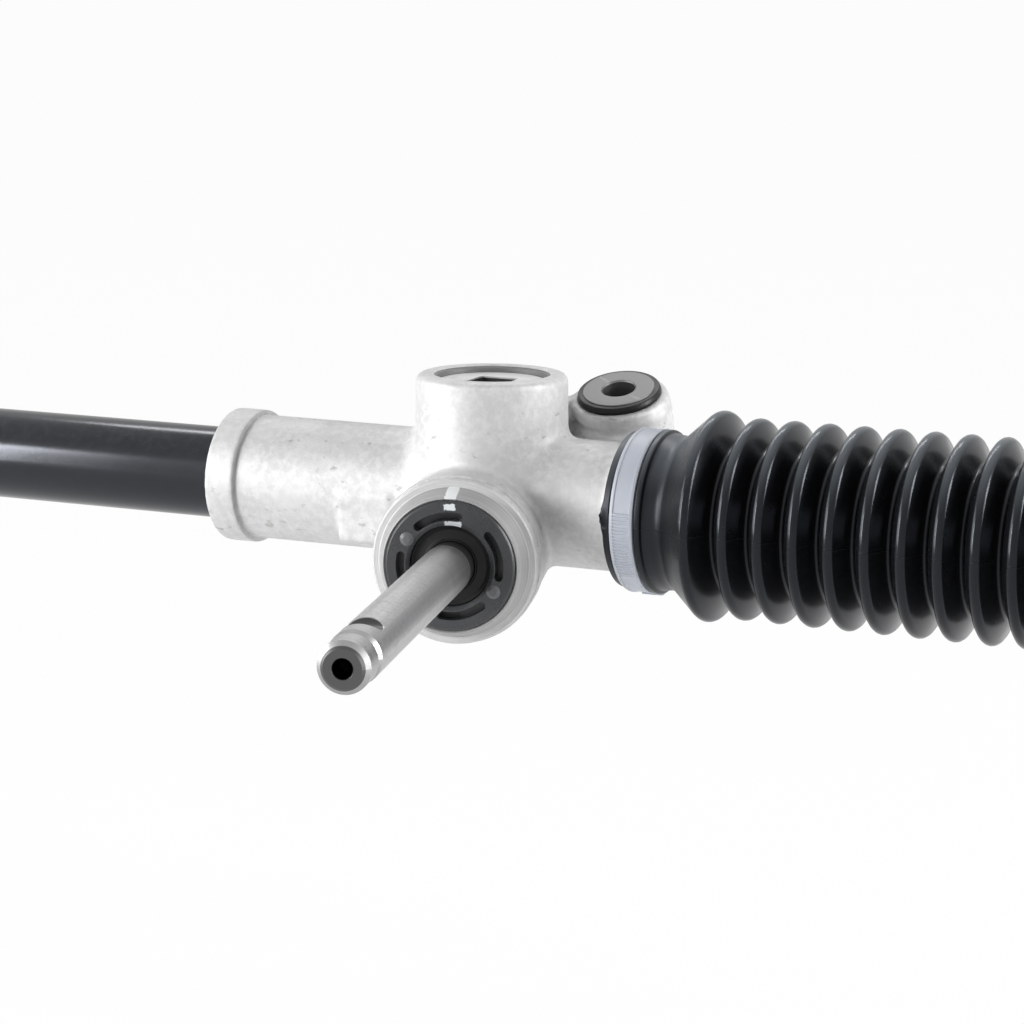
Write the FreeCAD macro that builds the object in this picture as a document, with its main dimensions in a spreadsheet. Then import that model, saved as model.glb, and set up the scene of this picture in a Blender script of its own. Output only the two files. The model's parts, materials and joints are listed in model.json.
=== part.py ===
"""Rack-and-pinion steering gear: cast housing, steel tube, rack, pinion, boots and tie rods."""
import math
import os

import FreeCAD
import Part
import Sketcher
from FreeCAD import Placement, Rotation, Vector

os.makedirs("parts", exist_ok=True)
doc = FreeCAD.newDocument("steering_rack")

# Driving dimensions in millimetres and degrees
# X runs along the rack from the tower axis, Z runs up the tower
DIMENSIONS = {
    # Rack bar and its teeth
    "rack_diameter": 24,
    "rack_left_end": 463,
    "rack_right_end": 125,
    "rack_end_chamfer": 1.2,
    "teeth_half_length": 80,
    "tooth_module": 1.9,
    "pressure_angle": 20,
    "pinion_helix": 28,
    "pinion_lean": 12.8,
    "pinion_shift": 0.45,
    "tooth_backlash": 0.14,
    "tooth_root_depth": 1.25,
    # Steel tube
    "tube_diameter": 32,
    "tube_bore": 26.5,
    "tube_far_end": 400,
    "tube_socket_depth": 36,
    "end_bush_length": 22,
    "end_bush_fit": 0.06,
    "end_ring_gap": 0.5,
    "end_ring_length": 4,
    # Cast housing barrel
    "collar_face": 98,
    "collar_length": 9.5,
    "collar_diameter": 45.4,
    "collar_chamfer": 1.6,
    "collar_blend": 4,
    "barrel_left_diameter": 43.4,
    "barrel_right_diameter": 42.6,
    "rack_bore": 27,
    "seat_start": 50,
    "seat_end": 64,
    "seat_diameter": 47.6,
    "seat_groove_depth": 1.1,
    "seat_chamfer": 1.5,
    # Yoke tower
    "tower_top": 42,
    "tower_top_diameter": 50.8,
    "tower_base_diameter": 52.4,
    "tower_base": 10,
    "tower_rim_round": 2.6,
    "tower_rim_break": 0.8,
    "tower_bore": 37.8,
    "yoke_fit": 0.05,
    "yoke_top": 25,
    "yoke_foot": 3,
    "liner_thickness": 0.9,
    "liner_fit": 0.05,
    "liner_length": 26,
    "o_ring_section": 2.6,
    "o_ring_height": 19,
    "yoke_plug_recess": 2.4,
    "yoke_plug_height": 11,
    "yoke_socket": 14,
    "yoke_socket_depth": 6,
    "spring_diameter": 20,
    "spring_wire": 2.6,
    "spring_turns": 3,
    "spring_pocket_diameter": 25,
    "spring_pocket_depth": 8,
    # Pinion boss and its bores, measured along the pinion axis
    "pinion_drop": 14,
    "pinion_offset": -3.7,
    "boss_rim": 44,
    "boss_rim_diameter": 54.6,
    "boss_body_diameter": 56,
    "boss_step": 40,
    "boss_root": 4,
    "boss_root_diameter": 51,
    "neck_diameter": 49.7,
    "neck_end": 50.4,
    "neck_end_diameter": 44.8,
    "pinion_tunnel_diameter": 34,
    "pinion_tunnel_end": 40,
    "tunnel_dome": 5,
    "lower_bush_start": 20,
    "lower_bush_length": 14,
    "lower_bush_wall": 2.5,
    "gear_cavity_diameter": 23,
    "gear_half_length": 17,
    "pinion_fit": 0.05,
    # Pinion shaft and bearing
    "pinion_tip": 191,
    "input_diameter": 16.4,
    "journal_diameter": 15.8,
    "journal_end": 57,
    "tip_land_diameter": 15.8,
    "tip_chamfer": 2.2,
    "tip_hole_diameter": 5.9,
    "tip_hole_depth": 9,
    "tip_hole_bevel": 0.3,
    "tip_hole_point": 1.7,
    "input_groove_place": 178.7,
    "input_groove_width": 3.6,
    "input_groove_depth": 1,
    "bolt_notch_place": 165.5,
    "bolt_notch_diameter": 11,
    "bolt_notch_depth": 2.4,
    "shoulder_diameter": 20,
    "shoulder_width": 3,
    "bearing_start": 20,
    "bearing_width": 12,
    "bearing_bore": 17,
    "bearing_inner_wall": 3,
    "bearing_diameter": 40,
    "bearing_outer_wall": 3.5,
    "bearing_ball_fit": 0.05,
    "bearing_balls": 8,
    "cage_wall": 1.2,
    "cage_width": 7,
    "lower_journal_diameter": 12,
    "lower_journal_chamfer": 1,
    "circlip_width": 1.2,
    "circlip_depth": 0.8,
    "circlip_wall": 2.4,
    # Pinion plug and seal
    "plug_diameter": 43.2,
    "plug_face": 51,
    "plug_chamfer": 0.8,
    "plug_hole": 26.6,
    "slot_mean_radius": 16.4,
    "slot_width": 2.9,
    "slot_angle": 56,
    "slot_depth": 5,
    "slot_turn": 15,
    "seal_depth": 9,
    "seal_recess": 1.6,
    "seal_lip": 1.6,
    # Mount bush on its lug
    "bush_x": 33.6,
    "bush_y": 30,
    "bush_top": 35,
    "bush_tilt": 20,
    "bush_hole": 11.2,
    "sleeve_diameter": 17,
    "sleeve_flange_diameter": 24.6,
    "sleeve_flange": 0.7,
    "rubber_flange_diameter": 28.8,
    "rubber_flange": 1.5,
    "rubber_diameter": 27,
    "lug_length": 34.6,
    "lug_top_diameter": 32.6,
    "lug_collar": 4.6,
    "lug_diameter": 31,
    "sleeve_foot": 3,
    "gusset_reach": 15,
    "gusset_foot": 6,
    "gusset_top": 20,
    "gusset_depth": 38,
    "flank_shift": 6,
    "flank_diameter": 23,
    "flank_top": 2,
    "flank_round": 5,
    "rib_start": 14,
    "rib_front": 14,
    "rib_back": 36,
    "rib_gap": 0.3,
    "rib_top": 31,
    # Raised pad on the front of the barrel
    "pad_left": 49,
    "pad_right": 33,
    "pad_foot": 16,
    "pad_top": 3,
    "pad_face": 21.9,
    # Right and left boots
    "cuff_lip": 50.6,
    "cuff_wall": 2.2,
    "cuff_band_offset": 2.8,
    "cuff_band_width": 8.3,
    "cuff_seat_length": 16.4,
    "cuff_ridge_width": 2.4,
    "cuff_ridge_height": 1.3,
    "cuff_length": 19,
    "cuff_neck_depth": 1.2,
    "first_crest_offset": 31.3,
    "crest_pitch": 11.7,
    "crest_diameter": 66,
    "valley_diameter": 49,
    "small_crest_diameter": 42,
    "small_valley_diameter": 29,
    "full_folds": 11,
    "taper_folds": 3,
    "boot_wall": 1.5,
    "small_cuff_length": 12,
    "left_overlap": 16,
    "left_crest_diameter": 58,
    "left_valley_diameter": 42,
    "tie_thickness": 1.2,
    "tie_head_height": 3.4,
    "tie_head_length": 8,
    "tie_head_turn": -85,
    "clip_width": 7,
    "clip_thickness": 1.4,
    # Inner joints and tie rods, measured from each ball centre
    "ball_reach": 22,
    "ball_diameter": 23,
    "seat_wall": 2.45,
    "seat_fit": 0.06,
    "ball_fit": 0.05,
    "seat_front": 5.6,
    "seat_back": 9,
    "joint_diameter": 33,
    "joint_nose": 8,
    "joint_nose_bevel": 3.5,
    "joint_flat_length": 9,
    "joint_flat_width": 29,
    "washer_thickness": 2,
    "washer_diameter": 32,
    "stud_diameter": 14,
    "stud_length": 20,
    "rod_neck_diameter": 11.6,
    "rod_neck_length": 22,
    "rod_neck_blend": 3,
    "rod_diameter": 14.4,
    "rod_thread_diameter": 14,
    "rod_length": 282,
    "rod_end_chamfer": 1.5,
    "jam_nut_inset": 54,
    "jam_nut_height": 9,
    "jam_nut_width": 22,
}

sheet = doc.addObject("Spreadsheet::Sheet", "sizes")
for row, (alias, number) in enumerate(DIMENSIONS.items(), start=1):
    sheet.set(f"A{row}", alias)
    sheet.set(f"B{row}", str(number))
    sheet.setAlias(f"B{row}", alias)
doc.recompute()


class Size:
    """A length with its number and the sheet expression that it comes from."""

    def __init__(self, text, value):
        self.text = text
        self.value = value

    def __add__(self, other):
        other = as_size(other)
        return Size(f"({self.text} + {other.text})", self.value + other.value)

    def __sub__(self, other):
        other = as_size(other)
        return Size(f"({self.text} - {other.text})", self.value - other.value)

    def __mul__(self, other):
        other = as_size(other)
        return Size(f"({self.text} * {other.text})", self.value * other.value)

    def __truediv__(self, other):
        other = as_size(other)
        return Size(f"({self.text} / {other.text})", self.value / other.value)

    def __neg__(self):
        return Size(f"(0 - {self.text})", -self.value)

    def root(self):
        return Size(f"sqrt({self.text})", math.sqrt(self.value))


def as_size(number):
    """Turn a plain number into a size, and leave a size as it is."""
    return number if isinstance(number, Size) else Size(str(number), number)


class Sizes:
    """Every size of the sheet, read by its name."""

    def __getattr__(self, alias):
        return Size(f"sizes.{alias}", float(sheet.get(alias)))


of = Sizes()
ZERO = Size("0", 0)


def radius(diameter):
    return diameter / 2


# Frames: each piece is drawn along its own X axis and then placed
RIGHT = Vector(1, 0, 0)
LEFT = Vector(-1, 0, 0)
UP = Vector(0, 0, 1)


def turn_of(angle_degrees):
    angle = math.radians(angle_degrees)
    return math.cos(angle), math.sin(angle)


def frame(point, axis):
    """The placement that puts a piece's start at the point and its X axis along the axis."""
    turn = Rotation(UP, 180) if axis == LEFT else Rotation(RIGHT, axis)
    return Placement(point, turn)


tilt_cos, tilt_sin = turn_of(of.bush_tilt.value)
lean_cos, lean_sin = turn_of(of.pinion_lean.value)
BUSH_AXIS = Vector(0, -tilt_sin, tilt_cos)
PINION_AXIS = Vector(lean_sin, -lean_cos, 0)
BUSH_TOP = Vector(of.bush_x.value, of.bush_y.value, of.bush_top.value)
SLEEVE_LENGTH = of.lug_length + of.rubber_flange + of.sleeve_flange + of.sleeve_foot
RACK_FRAME = frame(Vector(), RIGHT)
LEFT_FRAME = frame(Vector(), LEFT)
TOWER_FRAME = frame(Vector(), UP)
PINION_FRAME = frame(Vector(of.pinion_offset.value, 0, -of.pinion_drop.value), PINION_AXIS)
BUSH_FRAME = frame(BUSH_TOP, BUSH_AXIS)
# The part's origin is the foot of the bush hole, where the bolt enters the crossmember
ORIGIN_SHIFT = Placement(BUSH_AXIS * SLEEVE_LENGTH.value - BUSH_TOP, Rotation())
SIDES = {
    "right": (RIGHT, of.rack_right_end + of.ball_reach),
    "left": (LEFT, of.rack_left_end + of.ball_reach),
}


# Builders
def origin_plane(body, role):
    return next(item for item in body.Origin.OriginFeatures if item.Role == role)


# Sketch marks: the two axis lines and the centre of an arc
X_LINE, Y_LINE, CENTRE = -1, -2, 3


def hold(sketch, kind, edge, end, length, axis_line):
    """Hold one corner at a distance that follows the sheet, or on an axis where that is zero."""
    if length.text == ZERO.text:
        sketch.addConstraint(Sketcher.Constraint("PointOnObject", edge, end, axis_line))
        return
    row = sketch.addConstraint(Sketcher.Constraint(kind, X_LINE, 1, edge, end, length.value))
    sketch.setExpression(f"Constraints[{row}]", length.text)


def sphere_arc(start, end):
    """The arc through two corners whose centre lies on the axis, and whether it runs anticlockwise."""
    centre = Vector((end.dot(end) - start.dot(start)) / (end.x - start.x) / 2, 0, 0)
    chord = (start + end) / 2 - centre
    top = centre + chord.normalize() * (start - centre).Length
    return Part.Arc(start, top, end), (start - centre).cross(end - centre).z > 0


def outline(body, points, arcs=()):
    """Draw a closed outline on the body's XY plane, with each corner bound to the sheet.

    The edges whose numbers are in arcs are parts of spheres centred on the axis.
    """
    sketch = body.newObject("Sketcher::SketchObject", body.Label + "_outline")
    sketch.AttachmentSupport = [(origin_plane(body, "XY_Plane"), "")]
    sketch.MapMode = "FlatFace"
    corners = [Vector(along.value, out.value, 0) for along, out in points]
    count = len(corners)
    first_ends = []
    last_ends = []
    for index in range(count):
        start, end = corners[index], corners[(index + 1) % count]
        if index in arcs:
            arc, forward = sphere_arc(start, end)
            sketch.addGeometry(arc, False)
            sketch.addConstraint(Sketcher.Constraint("PointOnObject", index, CENTRE, X_LINE))
        else:
            sketch.addGeometry(Part.LineSegment(start, end), False)
            forward = True
        first_ends.append(1 if forward else 2)
        last_ends.append(2 if forward else 1)
    for index in range(count):
        after = (index + 1) % count
        joint = (index, last_ends[index], after, first_ends[after])
        sketch.addConstraint(Sketcher.Constraint("Coincident", *joint))
    for index, (along, out) in enumerate(points):
        hold(sketch, "DistanceX", index, first_ends[index], along, Y_LINE)
        hold(sketch, "DistanceY", index, first_ends[index], out, X_LINE)
    return sketch


def new_body(name):
    body = doc.addObject("PartDesign::Body", name)
    body.Label = name
    return body


def turned(name, points, arcs=()):
    """A body of revolution about its own X axis."""
    body = new_body(name)
    sketch = outline(body, points, arcs)
    turn = body.newObject("PartDesign::Revolution", name + "_turn")
    turn.Profile = sketch
    turn.ReferenceAxis = (sketch, ["H_Axis"])
    turn.Angle = 360
    body.Tip = turn
    return body


def rod(name, start, end, diameter):
    return turned(name, [
        (start, ZERO),
        (start, radius(diameter)),
        (end, radius(diameter)),
        (end, ZERO),
    ])


def ring(name, start, end, outer, inner):
    return turned(name, [
        (start, radius(inner)),
        (start, radius(outer)),
        (end, radius(outer)),
        (end, radius(inner)),
    ])


def extruded(name, points, length):
    """A prism: an outline on the body's XY plane, padded along its Z axis."""
    body = new_body(name)
    pad = body.newObject("PartDesign::Pad", name + "_pad")
    pad.Profile = outline(body, points)
    pad.setExpression("Length", length.text)
    body.Tip = pad
    return body


def ball(name, diameter):
    sphere = doc.addObject("Part::Sphere", name)
    sphere.setExpression("Radius", radius(diameter).text)
    return sphere


def placed(feature, placement):
    """Put a working shape where its neighbour's frame wants it."""
    feature.Placement = placement
    return feature


def cut(name, base, tool):
    result = doc.addObject("Part::Cut", name)
    result.Base = base
    result.Tool = tool
    return result


def common(name, base, tool):
    result = doc.addObject("Part::Common", name)
    result.Base = base
    result.Tool = tool
    return result


def fuse(name, shapes):
    result = doc.addObject("Part::MultiFuse", name)
    result.Shapes = shapes
    return result


def shaped(name, shape):
    """A feature whose shape comes from Part's own functions."""
    feature = doc.addObject("Part::Feature", name)
    feature.Shape = shape
    return feature


pieces = []


def piece(name, feature, placement):
    """Name a finished piece and put it in the part's frame."""
    feature.Label = name
    feature.Placement = ORIGIN_SHIFT.multiply(placement)
    pieces.append(feature)


# Housing: a turned barrel, a tower, a pinion boss and a lug, fused and then bored
lug_top = -(of.rubber_flange + of.sleeve_flange)
lower_bush_outer = of.lower_journal_diameter + of.pinion_fit * 2 + of.lower_bush_wall * 2
lower_bush_end = of.lower_bush_start + of.lower_bush_length
bearing_end = of.bearing_start + of.bearing_width


def barrel():
    blend_end = -of.collar_face + of.collar_length + of.collar_blend
    return turned("barrel", [
        (-of.collar_face, ZERO),
        (-of.collar_face, radius(of.collar_diameter) - of.collar_chamfer),
        (-of.collar_face + of.collar_chamfer, radius(of.collar_diameter)),
        (-of.collar_face + of.collar_length, radius(of.collar_diameter)),
        (blend_end, radius(of.barrel_left_diameter)),
        (of.seat_start, radius(of.barrel_right_diameter)),
        (of.seat_start, radius(of.seat_diameter)),
        (of.seat_end - of.seat_chamfer, radius(of.seat_diameter)),
        (of.seat_end, radius(of.seat_diameter) - of.seat_chamfer),
        (of.seat_end, ZERO),
    ])


def tower():
    rim = radius(of.tower_top_diameter)
    round_off = of.tower_rim_round
    return placed(turned("tower", [
        (-of.tower_base, ZERO),
        (-of.tower_base, radius(of.tower_base_diameter)),
        (of.tower_top - round_off, rim),
        (of.tower_top - of.tower_rim_break, rim - of.tower_rim_break),
        (of.tower_top, rim - round_off),
        (of.tower_top, ZERO),
    ]), TOWER_FRAME)


def pinion_boss():
    tunnel = radius(of.pinion_tunnel_diameter)
    return placed(turned("pinion_boss", [
        (-of.pinion_tunnel_end, ZERO),
        (-of.pinion_tunnel_end, tunnel - of.tunnel_dome),
        (-of.pinion_tunnel_end + of.tunnel_dome, tunnel),
        (of.boss_root, tunnel),
        (of.boss_root, radius(of.boss_root_diameter)),
        (of.boss_step, radius(of.boss_body_diameter)),
        (of.boss_step, radius(of.boss_rim_diameter)),
        (of.boss_rim, radius(of.boss_rim_diameter)),
        (of.boss_rim, radius(of.neck_diameter)),
        (of.neck_end, radius(of.neck_end_diameter)),
        (of.neck_end, ZERO),
    ]), PINION_FRAME)


def bush_lug():
    return placed(turned("bush_lug", [
        (lug_top - of.lug_length, ZERO),
        (lug_top - of.lug_length, radius(of.lug_diameter)),
        (lug_top - of.lug_collar, radius(of.lug_diameter)),
        (lug_top - of.lug_collar, radius(of.lug_top_diameter)),
        (lug_top, radius(of.lug_top_diameter)),
        (lug_top, ZERO),
    ]), BUSH_FRAME)


def block(name, left, right, foot, top, front, back):
    """A block of the casting, drawn as it is seen from the front."""
    body = extruded(name, [(left, foot), (right, foot), (right, top), (left, top)], back - front)
    return placed(body, Placement(Vector(0, back.value, 0), Rotation(RIGHT, 90)))


def gusset():
    """The web between the bush lug and the barrel."""
    left, right = of.bush_x - of.gusset_reach, of.bush_x + of.gusset_reach
    return block("gusset", left, right, -of.gusset_foot, of.gusset_top, ZERO, of.gusset_depth)


def lug_rib():
    """The narrow rib that ties the bush lug to the tower, clear of the bush's rubber."""
    end = of.bush_x - radius(of.rubber_flange_diameter) - of.rib_gap
    return block("lug_rib", of.rib_start, end, -of.gusset_foot, of.rib_top, of.rib_front, of.rib_back)


def lug_flank():
    """The rounded shoulder on the boot's side of the lug."""
    top = lug_top - of.flank_top
    side = radius(of.flank_diameter)
    shoulder = turned("lug_flank", [
        (lug_top - of.lug_length, ZERO),
        (lug_top - of.lug_length, side),
        (top - of.flank_round, side),
        (top, side - of.flank_round),
        (top, ZERO),
    ])
    return placed(shoulder, frame(BUSH_TOP + RIGHT * of.flank_shift.value, BUSH_AXIS))


def barrel_pad():
    """The raised pad between the collar and the pinion boss."""
    return block("barrel_pad", -of.pad_left, -of.pad_right, -of.pad_foot, of.pad_top, -of.pad_face, ZERO)


def housing_bores():
    return fuse("housing_bores", [
        rod("rack_way", -of.collar_face * 2, of.seat_end * 2, of.rack_bore),
        rod("tube_socket", -of.collar_face * 2, -of.collar_face + of.tube_socket_depth, of.tube_diameter),
        placed(rod("tower_bore", ZERO, of.tower_top * 2, of.tower_bore), TOWER_FRAME),
        placed(
            rod("gear_way", -of.lower_bush_start, of.bearing_start, of.gear_cavity_diameter),
            PINION_FRAME),
        placed(rod("lower_bore", -lower_bush_end, ZERO, lower_bush_outer), PINION_FRAME),
        placed(rod("bearing_bore", of.bearing_start, of.plug_face, of.bearing_diameter), PINION_FRAME),
        placed(rod("plug_bore", bearing_end, of.plug_face * 2, of.plug_diameter), PINION_FRAME),
        placed(rod("bush_bore", lug_top - of.lug_length * 2, of.lug_length, of.rubber_diameter), BUSH_FRAME),
    ])


casting = fuse("casting", [
    barrel(), tower(), pinion_boss(), bush_lug(), gusset(), lug_rib(), lug_flank(), barrel_pad()])
band_start = of.cuff_lip + of.cuff_band_offset
cuff_groove = ring(
    "cuff_groove", band_start, band_start + of.cuff_band_width,
    of.seat_diameter * 2, of.seat_diameter - of.seat_groove_depth * 2)
bored = cut("bored_casting", casting, housing_bores())
piece("pinion_housing", cut("housing", bored, cuff_groove), RACK_FRAME)

# Tube with its end bush
tube_start = -of.collar_face + of.tube_socket_depth
end_ring_start = -of.tube_far_end + of.end_ring_length
piece("rack_tube", ring("tube", -of.tube_far_end, tube_start, of.tube_diameter, of.tube_bore), RACK_FRAME)
piece("tube_end_bush", ring(
    "end_bush", end_ring_start, end_ring_start + of.end_bush_length,
    of.tube_bore, of.rack_diameter + of.end_bush_fit * 2), RACK_FRAME)
piece("tube_end_ring", ring(
    "end_ring", -of.tube_far_end, end_ring_start,
    of.tube_bore, of.rack_diameter + of.end_ring_gap * 2), RACK_FRAME)

# Yoke with its liner, ring, spring and adjuster in the tower
liner_bore = of.rack_diameter + of.liner_fit * 2
liner_outer = liner_bore + of.liner_thickness * 2
yoke_wall = radius(of.tower_bore) - of.yoke_fit
o_ring_root = radius(of.tower_bore) - of.o_ring_section
spring_seat = of.yoke_top - of.spring_pocket_depth
plug_foot = of.tower_top - of.yoke_plug_recess - of.yoke_plug_height


def yoke():
    half = of.o_ring_section / 2
    blank = turned("yoke_blank", [
        (of.yoke_foot, ZERO),
        (of.yoke_foot, yoke_wall),
        (of.o_ring_height - half, yoke_wall),
        (of.o_ring_height - half, o_ring_root),
        (of.o_ring_height + half, o_ring_root),
        (of.o_ring_height + half, yoke_wall),
        (of.yoke_top, yoke_wall),
        (of.yoke_top, radius(of.spring_pocket_diameter)),
        (spring_seat, radius(of.spring_pocket_diameter)),
        (spring_seat, ZERO),
    ])
    saddle = rod("yoke_saddle", -of.tower_bore, of.tower_bore, liner_outer)
    return cut("yoke", placed(blank, TOWER_FRAME), saddle)


def yoke_liner():
    """The half shell that the rack slides in, cut off level with the foot of the yoke."""
    shell = ring("liner_shell", -of.liner_length / 2, of.liner_length / 2, liner_outer, liner_bore)
    keep = placed(rod("liner_limit", of.yoke_foot, of.tower_top, of.tower_bore * 2), TOWER_FRAME)
    return common("liner", shell, keep)


def yoke_spring():
    """A flat-ended coil, swept along a helix between the yoke and its adjuster."""
    mean = of.spring_diameter.value / 2
    wire = of.spring_wire.value / 2
    height = (plug_foot - spring_seat).value - of.spring_wire.value
    pitch = height / of.spring_turns.value
    foot = spring_seat.value + wire
    path = Part.makeHelix(pitch, height, mean)
    path.translate(UP * foot)
    section = Part.Wire(Part.makeCircle(wire, Vector(mean, 0, foot), Vector(0, 1, 0)))
    coil = Part.Wire(path.Edges).makePipeShell([section], True, True)
    return shaped("spring", coil)


def yoke_plug():
    blank = turned("yoke_plug_blank", [
        (plug_foot, ZERO),
        (plug_foot, radius(of.tower_bore)),
        (of.tower_top - of.yoke_plug_recess, radius(of.tower_bore)),
        (of.tower_top - of.yoke_plug_recess, ZERO),
    ])
    half = of.yoke_socket / 2
    socket = extruded("yoke_socket", [
        (-half, -half), (half, -half), (half, half), (-half, half)], of.tower_top)
    floor = of.tower_top - of.yoke_plug_recess - of.yoke_socket_depth
    placed(socket, Placement(Vector(0, 0, floor.value), Rotation()))
    return cut("yoke_plug_cut", placed(blank, TOWER_FRAME), socket)


piece("yoke", yoke(), RACK_FRAME)
piece("yoke_liner", yoke_liner(), RACK_FRAME)
piece("yoke_o_ring", ring(
    "o_ring", of.o_ring_height - of.o_ring_section / 2, of.o_ring_height + of.o_ring_section / 2,
    of.tower_bore, o_ring_root * 2), TOWER_FRAME)
piece("yoke_spring", yoke_spring(), RACK_FRAME)
piece("yoke_plug", yoke_plug(), RACK_FRAME)

# Bearings, plug and seal along the pinion axis
race_inner = of.bearing_bore + of.bearing_inner_wall * 2
race_outer = of.bearing_diameter - of.bearing_outer_wall * 2
ball_diameter = (race_outer - race_inner) / 2 - of.bearing_ball_fit * 2
ball_circle = (race_outer + race_inner) / 4
bearing_middle = of.bearing_start + of.bearing_width / 2


def bearing_cage():
    """The balls and the cage that spaces them, as one solid."""
    cage = ring(
        "cage_ring", bearing_middle - of.cage_width / 2, bearing_middle + of.cage_width / 2,
        ball_circle * 2 + of.cage_wall, ball_circle * 2 - of.cage_wall)
    balls = []
    count = int(of.bearing_balls.value)
    for index in range(count):
        cosine, sine = turn_of(360 / count * index)
        place = Vector(bearing_middle.value, ball_circle.value * cosine, ball_circle.value * sine)
        balls.append(placed(ball(f"bearing_ball_{index}", ball_diameter), Placement(place, Rotation())))
    return fuse("caged_balls", [cage] + balls)


SLOT_COUNT = 4


def arc_slot():
    """A slot bent round the pinion axis, with round ends, drawn as a face and extruded along X."""
    mean = of.slot_mean_radius.value
    half = of.slot_width.value / 2
    cosine, sine = turn_of(of.slot_angle.value / 2)
    start = of.plug_face.value - of.slot_depth.value

    def point(reach, side):
        return Vector(start, reach * cosine, side * reach * sine)

    def end_cap(side):
        return Vector(start, mean * cosine - half * sine, side * (mean * sine + half * cosine))

    edges = [
        Part.Arc(point(mean + half, -1), Vector(start, mean + half, 0), point(mean + half, 1)),
        Part.Arc(point(mean + half, 1), end_cap(1), point(mean - half, 1)),
        Part.Arc(point(mean - half, 1), Vector(start, mean - half, 0), point(mean - half, -1)),
        Part.Arc(point(mean - half, -1), end_cap(-1), point(mean + half, -1)),
    ]
    face = Part.Face(Part.Wire([edge.toShape() for edge in edges]))
    return face.extrude(RIGHT * of.slot_depth.value * 2)


def pinion_plug():
    blank = turned("plug_blank", [
        (bearing_end, radius(of.plug_hole)),
        (bearing_end, radius(of.plug_diameter)),
        (of.plug_face - of.plug_chamfer, radius(of.plug_diameter)),
        (of.plug_face, radius(of.plug_diameter) - of.plug_chamfer),
        (of.plug_face, radius(of.plug_hole)),
    ])
    slots = []
    for index in range(SLOT_COUNT):
        slot = arc_slot()
        slot.rotate(Vector(), RIGHT, of.slot_turn.value + 360 / SLOT_COUNT * index)
        slots.append(slot)
    return cut("plug", blank, shaped("plug_slots", Part.makeCompound(slots)))


seal_face = of.plug_face - of.seal_recess
piece("bearing_outer_ring", ring(
    "outer_race", of.bearing_start, bearing_end, of.bearing_diameter, race_outer), PINION_FRAME)
piece("bearing_inner_ring", ring(
    "inner_race", of.bearing_start, bearing_end, race_inner, of.bearing_bore), PINION_FRAME)
piece("bearing_cage", bearing_cage(), PINION_FRAME)
piece("pinion_lower_bush", ring(
    "lower_bush", -lower_bush_end, -of.lower_bush_start,
    lower_bush_outer, of.lower_journal_diameter + of.pinion_fit * 2), PINION_FRAME)
piece("pinion_plug", pinion_plug(), PINION_FRAME)
piece("pinion_seal", turned("seal", [
    (seal_face - of.seal_depth, radius(of.journal_diameter) + of.pinion_fit),
    (seal_face - of.seal_depth, radius(of.plug_hole)),
    (seal_face, radius(of.plug_hole)),
    (seal_face, radius(of.journal_diameter) + of.seal_lip),
    (seal_face - of.seal_lip, radius(of.journal_diameter) + of.pinion_fit),
]), PINION_FRAME)

# Pinion: a helical gear cut with the same normal tooth as the rack
TOOTH_COUNT = 7
FLANK_STEPS = 5
FIRST_ROLL = 0.02
HELIX_SECTIONS = 12
helix_cos, helix_sin = turn_of(of.pinion_helix.value)
pressure_cos, pressure_sin = turn_of(of.pressure_angle.value)
pressure_tan = pressure_sin / pressure_cos
module = of.tooth_module.value
pitch_radius = module * TOOTH_COUNT / 2 / helix_cos
shift = of.pinion_shift.value * module
tip_radius = pitch_radius + shift + module
root_radius = pitch_radius + shift - module * of.tooth_root_depth.value
transverse_angle = math.atan(pressure_tan / helix_cos)
base_radius = pitch_radius * math.cos(transverse_angle)


def involute(angle):
    return math.tan(angle) - angle


def gear_section():
    """One closed outline of the gear in the plane across its axis."""
    thickness = module * (math.pi / 2 + 2 * of.pinion_shift.value * pressure_tan)
    thickness = (thickness - of.tooth_backlash.value) / helix_cos
    half_at_base = thickness / 2 / pitch_radius + involute(transverse_angle)
    edges = []
    last_roll = math.acos(base_radius / tip_radius)
    roll_step = (last_roll - FIRST_ROLL) / FLANK_STEPS

    def flank_point(roll, side, middle):
        reach = base_radius / math.cos(roll)
        angle = middle + side * (half_at_base - involute(roll))
        return Vector(0, reach * math.sin(angle), reach * math.cos(angle))

    def arc_point(reach, angle):
        return Vector(0, reach * math.sin(angle), reach * math.cos(angle))

    rolls = [FIRST_ROLL + roll_step * step for step in range(FLANK_STEPS + 1)]
    pitch_angle = 2 * math.pi / TOOTH_COUNT
    for tooth in range(TOOTH_COUNT):
        middle = tooth * pitch_angle
        rise = [flank_point(roll, -1, middle) for roll in rolls]
        fall = [flank_point(roll, 1, middle) for roll in reversed(rolls)]
        root_in = arc_point(root_radius, middle - half_at_base)
        root_out = arc_point(root_radius, middle + half_at_base)
        next_root = arc_point(root_radius, middle + pitch_angle - half_at_base)
        up_curve = Part.BSplineCurve()
        up_curve.interpolate(rise)
        down_curve = Part.BSplineCurve()
        down_curve.interpolate(fall)
        edges += [
            Part.LineSegment(root_in, rise[0]).toShape(),
            up_curve.toShape(),
            Part.Arc(rise[-1], arc_point(tip_radius, middle), fall[0]).toShape(),
            down_curve.toShape(),
            Part.LineSegment(fall[-1], root_out).toShape(),
            Part.Arc(root_out, arc_point(root_radius, middle + pitch_angle / 2), next_root).toShape(),
        ]
    return Part.Wire(edges)


def helical_gear():
    """Sections turned along the helix and lofted."""
    half = of.gear_half_length.value
    twist = helix_sin / helix_cos / pitch_radius
    sections = []
    for index in range(HELIX_SECTIONS + 1):
        along = -half + 2 * half * index / HELIX_SECTIONS
        section = gear_section()
        section.rotate(Vector(), RIGHT, math.degrees(along * twist))
        section.translate(RIGHT * along)
        sections.append(section)
    return Part.makeLoft(sections, True, False)


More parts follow.
